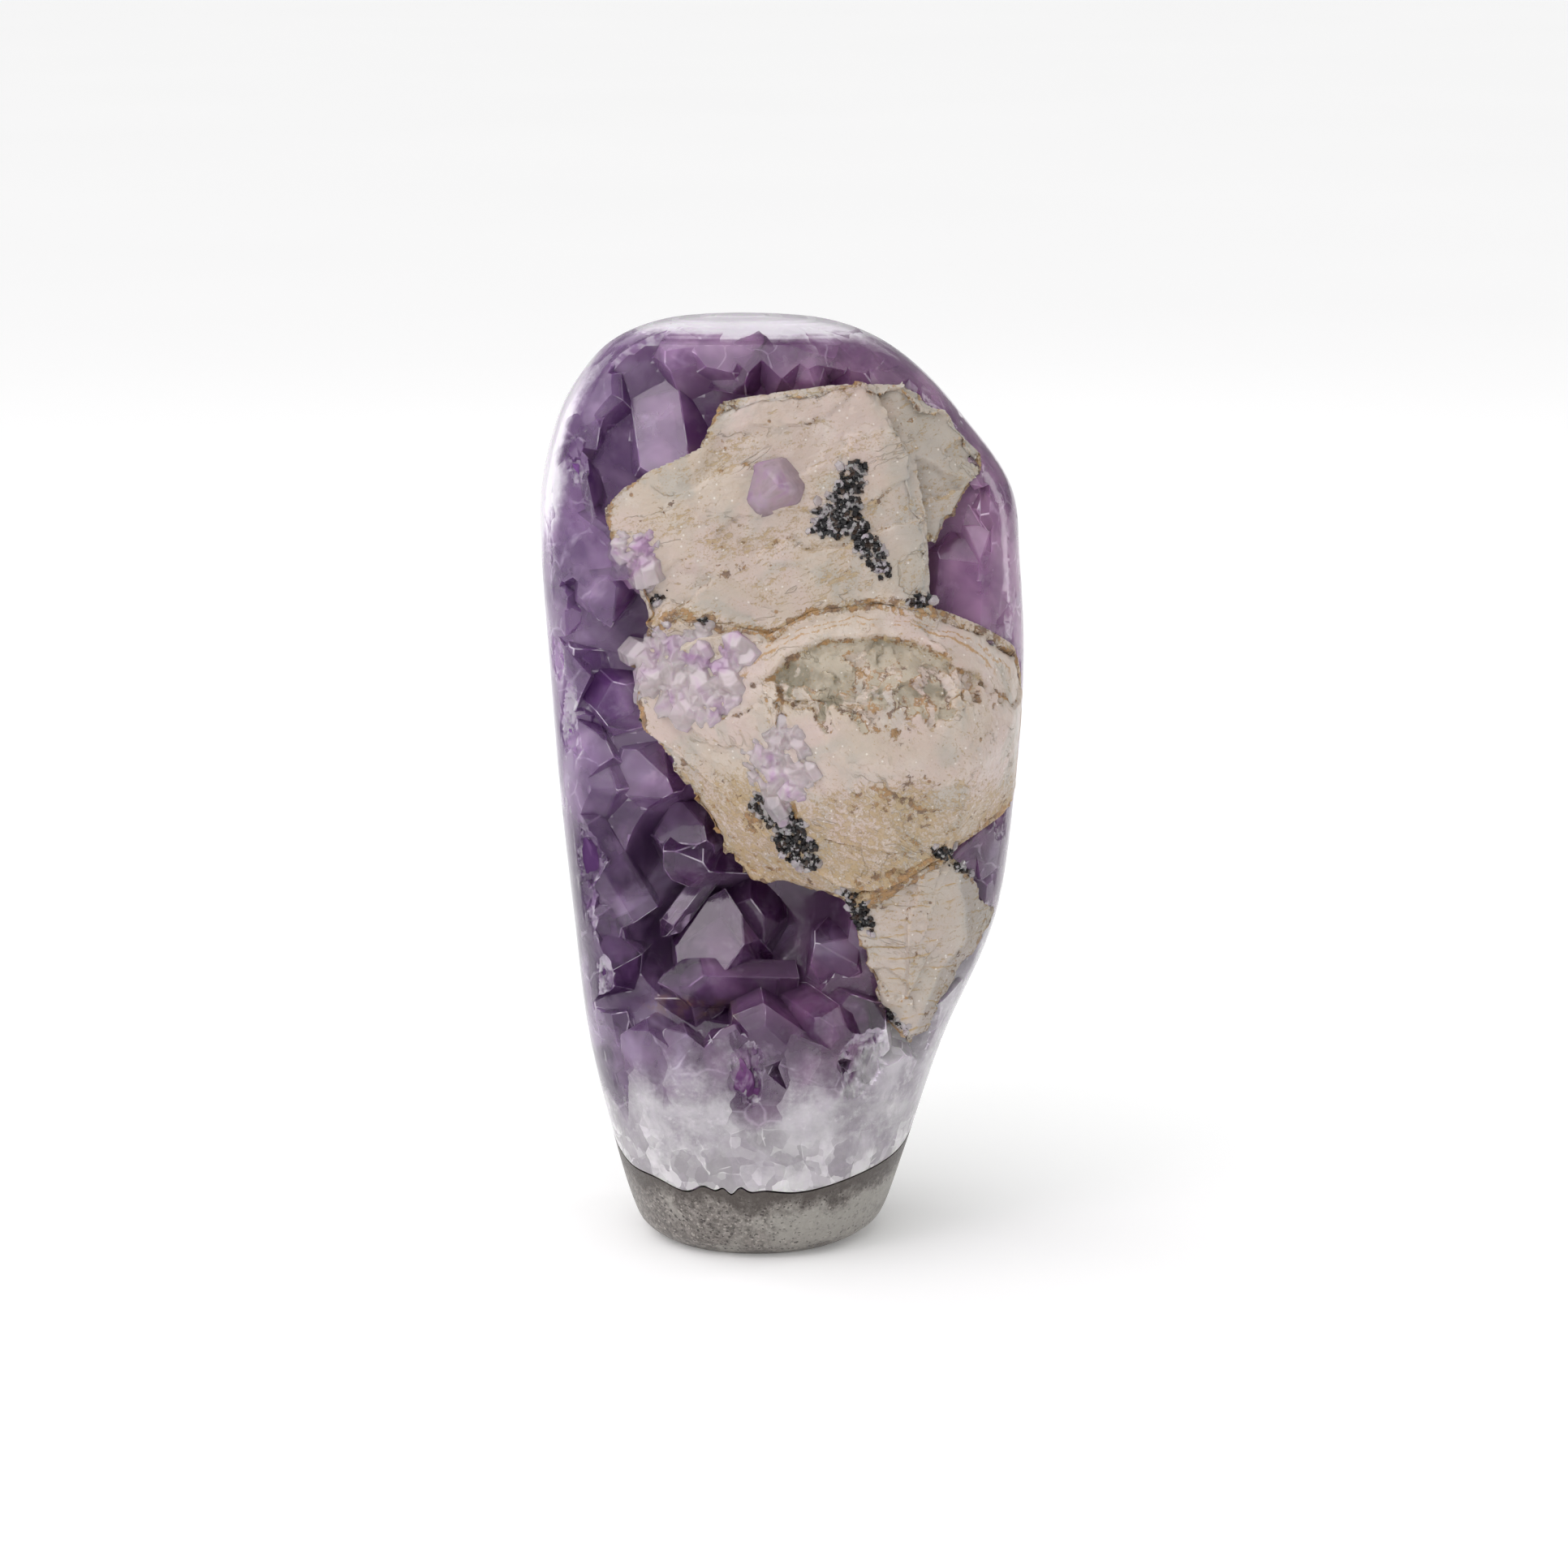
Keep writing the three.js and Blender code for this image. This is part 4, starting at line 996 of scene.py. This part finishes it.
def calcite_material(node):
    (across_x, across_z), _, _ = LAYERS[node]
    made, place = new_material(node + "_finish")
    stain, weather = mark(place, "stain"), mark(place, "weather")
    x, y, z = place.parts()
    across = x * across_x + z * across_z
    along = x * across_z - z * across_x
    grain = place.node("ShaderNodeCombineXYZ", None, {0: along * STRETCH[node], 1: y, 2: across})
    colour = place.clouds(14, 3, 0.5, 0.6).rise(0.35, 0.65).tint((0.56, 0.447, 0.407), (0.53, 0.44, 0.36))
    colour = (place.clouds(5, 5, 0.65, 0.4).rise(0.45, 0.72) * 0.6).tint(colour, (0.615, 0.54, 0.48))
    misty = place.clouds(10, 4, 0.6, 0.8).rise(0.48, 0.66)
    if node == "calcite_upper":
        misty = misty.larger((x + (place.clouds(6, 3, 0.6) - 0.5) * 14).rise(14, 20))
    if node == "calcite_lower":
        misty = misty * 0.4 + 0.6
    colour = (misty * 0.75).tint(colour, (0.435, 0.4, 0.35))
    island = place.clouds(4.5, 5, 0.65, 0.3)
    grey = (island - z.rise(94, 103) * 0.12).rise(0.54, 0.46) * weather.rise(0.2, 0.6)
    # The weathered hollow is grey green, darker at its left: painted shade under the rim there.
    moss_and_lip_shade = (place.clouds(6, 3, 0.6) + x.rise(0, 14) * 0.1).rise(0.42, 0.6)
    colour = (grey * 0.9).tint(colour, moss_and_lip_shade.tint((0.205, 0.178, 0.118), (0.45, 0.39, 0.30)))
    saw = (across / 2.3 + place.clouds(12, 5, 0.6) * 6).fraction()
    bands = (grain.clouds(1.8, 4, 0.65) + stain * 0.12).rise(0.62, 0.74)
    colour = (bands * 0.4).tint(colour, (0.43, 0.34, 0.24))
    rust = place.clouds(2.6, 3, 0.6).rise(0.42, 0.6).tint((0.40, 0.22, 0.08), (0.15, 0.08, 0.045))
    field = grain.clouds(8, 4, 0.6, 0.6).rise(0.44, 0.6) * 0.95
    if node == "calcite_middle":
        field = field * 0.4 + (z + (place.clouds(9, 3, 0.6) - 0.5) * 14).rise(84, 77) * 1.1
    if node == "calcite_lower":
        field = field * 0.5
        stripe = (z / 2.1 + place.clouds(16, 4, 0.6) * 3.2).fraction().rise(0.74, 0.95)
        stripe = stripe * grain.clouds(1.6, 4, 0.7).rise(0.43, 0.55) * place.clouds(7, 2, 0.5).rise(0.36, 0.5)
        colour = (stripe * 0.85).tint(colour, (0.42, 0.28, 0.11))
    crack = abs(grain.clouds(8, 4, 0.6, 0.6) - 0.5).rise(0.011, 0.002)
    crack = crack * place.clouds(7, 2, 0.5).rise(0.5, 0.6)
    specks = (place.clouds(0.36, 2, 0.6) + (stain + field) * 0.12).rise(0.66, 0.72)
    sprinkle = (grain.clouds(0.7, 3, 0.65) + (stain * 1.3 + field) * 0.1).rise(0.655, 0.73)
    dots = place.cells(4.2).rise(0.1, 0.06) * place.cell_number(4.2, 1).rise(0.62, 0.66)
    blots = (place.clouds(1.7, 4, 0.7) + stain * 0.28).rise(0.72, 0.79)
    seams = saw.rise(0.86, 0.99) * (place.clouds(5, 3, 0.6) + field * 0.1).rise(0.5, 0.6)
    glints = place.cells(1.3).rise(0.17, 0.1) * place.cell_number(1.3, 0).rise(0.55, 0.6)
    vein = abs(island - z.rise(94, 103) * 0.12 - 0.5).rise(0.04, 0.005)
    vein = vein * weather.rise(0.2, 0.6) * place.clouds(3, 3, 0.6).rise(0.42, 0.55)
    colour = painted(
        colour,
        (crack * 0.4, (0.25, 0.2, 0.135)),
        (seams * place.clouds(0.7, 2, 0.6).rise(0.42, 0.6) * 0.6, (0.36, 0.25, 0.14)),
        (specks * 0.5, (0.40, 0.27, 0.13)),
        (sprinkle * 0.6, (0.43, 0.30, 0.14)),
        (glints * 0.6, (0.8, 0.76, 0.72)),
        (vein * 0.9, rust),
        (blots.larger(dots) * 0.85, rust),
    )
    if node == "calcite_middle":
        u = (x - RECESS["centre"][0]) / RECESS["half"][0]
        v = (z - RECESS["centre"][1] + u * u * 2.2 - 0.8) / RECESS["half"][1]
        away = (u * u + v * v) ** 0.5 + (place.clouds(4, 5, 0.7) - 0.5) * 0.3
        line = abs(away - 1.12).rise(0.03, 0.01).larger(abs(away - 1.22).rise(0.018, 0.006))
        line = line * v.rise(0.1, 0.4) * place.clouds(1.8, 4, 0.7).rise(0.42, 0.54)
        colour = (line * 0.85).tint(colour, (0.41, 0.23, 0.075))
    fine = (grain.clouds(0.6, 3, 0.6) * 0.6 + place.clouds(1.6, 4, 0.65) * 0.5).bump(0.14)
    steps = saw.bump(0.16, fine)
    pitted = (1 - sprinkle * 0.5 - blots - crack).bump(0.14, steps)
    surface = place.node("ShaderNodeBsdfPrincipled", None, {
        "Base Color": colour, "Roughness": grey * 0.15 + stain * 0.2 + 0.3, "Normal": pitted, "IOR": 1.55,
        "Subsurface Weight": 0.35, "Subsurface Radius": (1.0, 0.7, 0.5), "Subsurface Scale": 0.0016,
    })
    place.node("ShaderNodeOutputMaterial", None, {"Surface": surface})
    return made


def smooth_ground(mesh):
    """Takes the sharp edges away between faces that are ground."""
    ground = values_of(mesh.attributes["ground"].data, "value")
    by_corner = np.repeat(ground, values_of(mesh.polygons, "loop_total", int))
    ground_sides = np.bincount(values_of(mesh.loops, "edge_index", int), by_corner, len(mesh.edges))
    sharp = values_of(mesh.edges, "use_edge_sharp", bool)
    mesh.edges.foreach_set("use_edge_sharp", sharp & (ground_sides < 1.5))


# The quartz grew round the calcites, so each stone leaves its bed in the crust and in the roots. Only then
# are their faces marked and dressed.
stones = {}
for node in CALCITES:
    stones[node] = weathered(node)
    for hollowed in (crust, roots):
        combine(hollowed, mark_surface(placed("bed", stones[node].data.copy()), 0), "DIFFERENCE")
    dress(stones[node], calcite_material(node), "calcite", node)
stone_tree = tree_of(*stones.values())
mark_faces(crust)
shade(crust, 12)
smooth_ground(crust.data)
dress(crust, amethyst_material(), "quartz", "quartz_crust")
shade(roots, 30)
dress(roots, root_material(), "quartz")

# Late amethyst grew on the calcites as patches of small crystals that touch. It is pale, pinkish and partly
# clear, and was the last quartz to grow in the geode.
LATE = {  # node: middle in x and z, reach in x and z, number of crystals, radius
    "late_amethyst_middle": ((-15.8, 97.4), (9.8, 7.8), 170, (1.7, 3.7)),
    "late_amethyst_lower": ((-0.6, 83), (5.2, 7.4), 110, (1.4, 2.9)),
    "late_amethyst_left": ((-23.8, 114), (4.8, 5.2), 80, (1.5, 3.0)),
}
LATE_VOXEL = 0.16
FIRST_LATE, LATE_STEP = 1000, 300  # numbers from which the crystals of the patches are counted
TURNED_TO_LIGHT = 6  # one crystal in so many has a face that catches the light


def facing(tree, x, z):
    """The place and the way out of the surface that a line from the front meets."""
    place, normal, _, _ = tree.ray_cast(Vector((x, -100, z)), Vector((0, 1, 0)))
    if place is None:
        return None, None
    return place, -normal if normal.y > 0 else normal


def druse_patch(node, first):
    (middle_x, middle_z), (reach_x, reach_z), count, radius = LATE[node]
    crystals = []
    for number in range(first, first + count):
        turn, away = chance(number, 61) * 2 * math.pi, math.sqrt(chance(number, 62))
        x = middle_x + math.cos(turn) * away * reach_x
        z = middle_z + math.sin(turn) * away * reach_z
        place, out = facing(stone_tree, x, z)
        if place is None:
            continue
        lean = Vector((spread(number, 63, -0.5, 0.5), 0, spread(number, 64, -0.5, 0.5)))
        axis = (out + lean).normalized()
        spin = chance(number, 67) * math.pi
        if number % TURNED_TO_LIGHT == 0:
            slope = LIT.cross(Vector((math.cos(spin * 2), 0, math.sin(spin * 2)))).normalized()
            axis = (LIT * 0.618 - slope * 0.786).normalized()
            spin = spin_from_light(axis, 0)
        wide = spread(number, 65, *radius) * (1.1 - 0.45 * away)
        tip = place + axis * min(wide * spread(number, 66, 0.2, 0.5), 1.7)
        crystals.append(quartz_crystal(f"late_{number}", tip, axis, wide, spin, number, wide * 2.2, 0.05))
    piece = joined(crystals)
    piece.name = node + "_crystals"
    remeshed(piece, LATE_VOXEL, 1)
    shade(piece, 30)
    return piece


def late_material(name, pale, violet):
    made, place = new_material(name)
    tone = place.clouds(7, 3, 0.6, 0.6)
    colour = tone.rise(0.46, 0.68).tint(pale, violet)
    normal = place.clouds(1.2, 2, 0.5).bump(0.03)
    cloudy = place.node("ShaderNodeBsdfPrincipled", None, {
        "Base Color": colour, "Roughness": 0.1, "IOR": 1.54, "Normal": normal,
        "Subsurface Weight": 0.6, "Subsurface Radius": (1.0, 0.8, 1.0), "Subsurface Scale": 0.0015,
    })
    clear = place.node("ShaderNodeBsdfPrincipled", None, {
        "Base Color": (0.95, 0.88, 0.96, 1), "Roughness": 0.02, "IOR": 1.54, "Transmission Weight": 1.0,
        "Normal": normal,
    })
    haze = tone.rise(0.3, 0.7) * 0.32 + 0.3
    surface = place.node("ShaderNodeMixShader", None, {0: haze, 1: clear, 2: cloudy})
    place.node("ShaderNodeOutputMaterial", None, {"Surface": surface})
    return made


late_finish = late_material("late_amethyst", (0.82, 0.73, 0.765), (0.50, 0.30, 0.51))
for index, node in enumerate(LATE):
    dress(druse_patch(node, FIRST_LATE + LATE_STEP * index), late_finish, "late_amethyst", node)

# One lilac crystal stands alone on the upper calcite, a blunt six-sided tip. It grew there at the same time
# as the late patches.
LONE = {"tip": (-1.2, -24.2, 127.2), "axis": (0.04, -0.98, 0.2), "radius": 6, "spin": math.radians(14)}
lone = quartz_crystal("lone_crystal", **LONE, number=700, length=8, edge=0.4)
shade(lone, 26)
lilac = late_material("lilac_amethyst", (0.60, 0.46, 0.57), (0.43, 0.25, 0.45))
dress(lone, lilac, "late_amethyst", "lone_amethyst")

# Goethite and other dark minerals grew in the angles of the calcites as glossy black grains, well under a
# millimetre across. Small clear quartz crystals sparkle between them.
SPARKLE_SHARE = 0.12
GRAIN_SPOTS = [  # middle in x and z, reach along and across, tilt, number of grains
    ((9.8, 125), (6.0, 2.4), 66, 760),
    ((8, 121.6), (4.2, 3.2), 30, 700),
    ((13.2, 117), (5.8, 1.9), -58, 640),
    ((-24, 91.5), (3, 1.2), -65, 170),
    ((1.2, 71.5), (6.4, 3.2), -62, 1100),
    ((-2.6, 76), (3.4, 1.8), -30, 420),
    ((11.8, 58.5), (4.4, 1.7), -60, 480),
    ((27.5, 66.5), (5.6, 1.3), -38, 420),
    ((21.6, 108.6), (2.4, 0.9), 0, 120),
    ((-20, 108.4), (2.4, 0.5), 40, 70),
    ((-12.6, 105.6), (0.8, 0.8), 0, 26),
    ((18, 40.4), (2.6, 0.7), -40, 100),
]


def grain_places():
    """Places on the calcites where a grain sits, with the way out and a number for its chances."""
    number = 3000
    for (middle_x, middle_z), (along, across), tilt, count in GRAIN_SPOTS:
        tilt = math.radians(tilt)
        for _ in range(count):
            number += 1
            turn, away = chance(number, 71) * 2 * math.pi, math.sqrt(chance(number, 72))
            u, v = math.cos(turn) * away * along, math.sin(turn) * away * across
            x = middle_x + u * math.cos(tilt) - v * math.sin(tilt)
            z = middle_z + u * math.sin(tilt) + v * math.cos(tilt)
            if noise.noise(Vector((x, 0, z)) / 1.1) < 0.25 * away ** 4 - 0.16:
                continue
            place, out = facing(stone_tree, x, z)
            if place is not None:
                yield place, out, number


def grains():
    """Rough cubes, each stretched and turned in its own way."""
    corners, faces = [], []
    cube = [Vector((x, y, z)) for x in (-1, 1) for y in (-1, 1) for z in (-1, 1)]
    cube_faces = [(0, 1, 3, 2), (4, 6, 7, 5), (0, 4, 5, 1), (2, 3, 7, 6), (0, 2, 6, 4), (1, 5, 7, 3)]
    for place, out, number in grain_places():
        if chance(number, 75) < SPARKLE_SHARE:
            continue
        size = 0.12 + 0.3 * chance(number, 73) ** 2
        turn = Euler([spread(number, value, 0, math.pi) for value in (91, 92, 93)]).to_quaternion()
        first = len(corners)
        for index, corner in enumerate(cube):
            worn = corner * size * spread(number * 8 + index, 74, 0.55, 1)
            corners.append(turn @ worn + place + out * size * 0.3)
        faces += [[first + corner for corner in face] for face in cube_faces]
    return new_piece("black_grains", corners, faces)


def grain_material():
    made, place = new_material("goethite")
    tone = place.cell_number(0.7, 1)
    colour = tone.rise(0.6, 1.0).tint((0.008, 0.007, 0.008), (0.05, 0.028, 0.018))
    surface = place.node("ShaderNodeBsdfPrincipled", None, {
        "Base Color": colour, "Roughness": tone * 0.3 + 0.2,
        "Normal": place.clouds(0.25, 2, 0.6).bump(0.03),
    })
    place.node("ShaderNodeOutputMaterial", None, {"Surface": surface})
    return made


dress(grains(), grain_material(), "rind")
sparkles = []
for place, out, number in grain_places():
    if chance(number, 75) < SPARKLE_SHARE:
        axis = out + Vector((spread(number, 76, -1, 1), 0, spread(number, 77, -1, 1)))
        radius, spin = spread(number, 78, 0.35, 0.9), chance(number, 79)
        name = f"sparkle_{number}"
        sparkles.append(quartz_crystal(name, place + out * 0.4, axis, radius, spin, number, 1.6, 0.03))
sparkles = joined(sparkles)
sparkles.name = "sparkling_quartz"
shade(sparkles, 12)
dress(sparkles, late_material("sparkling_quartz", (0.72, 0.66, 0.68), (0.6, 0.52, 0.6)), "quartz")

# The druse stands on its sawn foot on a pale floor, in soft studio light with a large box at the upper left.
# The camera looks slightly down on it, as in the photograph.
FRAME_WIDTH = 0.2556  # what the image spans where the druse stands
SENSOR, LENS = 36, 100
CAMERA_RISE = math.radians(12)
SKY = (0.3, 0.52)  # at the horizon and overhead
BOX_TINT = (1, 0.88, 0.98)
STRIPS = [  # name, place, size, power
    ("front_box", (-1.35, -1.65, 2.18), (0.9, 0.9), 7),
    ("left_strip", (-0.62, 0.42, 0.2), (0.3, 1.0), 1.8),
    ("right_strip", (0.8, 0.3, 0.3), (0.2, 0.8), 1.2),
    ("top_strip", (0.0, 0.75, 0.8), (1.0, 0.5), 1.0),
]

FLOOR_HALF = 9000
floor_corners = [(x * FLOOR_HALF, y * FLOOR_HALF, 0) for x, y in ((-1, -1), (1, -1), (1, 1), (-1, 1))]
floor = new_piece("floor", floor_corners, [(0, 1, 2, 3)])
pale, place = new_material("pale_floor")
tone = place.clouds(400, 2, 0.5).tint((0.93, 0.93, 0.93), (0.96, 0.96, 0.96))
place.node("ShaderNodeOutputMaterial", None, {
    "Surface": place.node("ShaderNodeBsdfPrincipled", None, {
        "Base Color": tone, "Roughness": 0.8, "Emission Color": (1, 1, 1, 1), "Emission Strength": 0.13,
    }),
})
floor.data.materials.append(pale)

world = bpy.data.worlds.new("studio")
bpy.context.scene.world = world
world.use_nodes = True
sky = Wire(world.node_tree)
height = sky.node("ShaderNodeTexCoord", None, None, "Generated").parts()[2]
glow = height.rise(0.0, 0.9) * (SKY[1] - SKY[0]) + SKY[0]
world.node_tree.nodes["Background"].inputs["Color"].default_value = (1, 1, 1, 1)
world.node_tree.links.new(glow.socket, world.node_tree.nodes["Background"].inputs["Strength"])


def light(name, kind, place, energy):
    data = bpy.data.lights.new(name, kind)
    data.energy = energy
    lamp = placed(name, data)
    lamp.location = place
    lamp.rotation_mode = "QUATERNION"
    lamp.rotation_quaternion = (Vector((0, 0, 0.08)) - Vector(place)).to_track_quat("-Z", "Y")
    return data


light("soft_sun", "SUN", (-0.5, -0.55, 0.9), 1.7).angle = math.radians(90)
for name, place, size, energy in STRIPS:
    strip = light(name, "AREA", place, energy)
    strip.shape = "RECTANGLE"
    strip.color = BOX_TINT if name == "front_box" else (1, 1, 1)
    strip.size, strip.size_y = size

camera_data = bpy.data.cameras.new("camera")
camera = placed("camera", camera_data)
bpy.context.scene.camera = camera
camera_data.lens = LENS
camera_data.sensor_width = SENSOR
aim = Vector((0, 0, 0.0747))
back = Vector((0, -math.cos(CAMERA_RISE), math.sin(CAMERA_RISE)))
camera.location = aim + back * LENS / SENSOR * FRAME_WIDTH
camera.rotation_mode = "QUATERNION"
camera.rotation_quaternion = (-back).to_track_quat("-Z", "Y")
bpy.context.scene.view_settings.view_transform = "Standard"
bpy.context.scene.cycles.use_denoising = True
bpy.context.scene.cycles.max_bounces = bpy.context.scene.cycles.transmission_bounces = 9
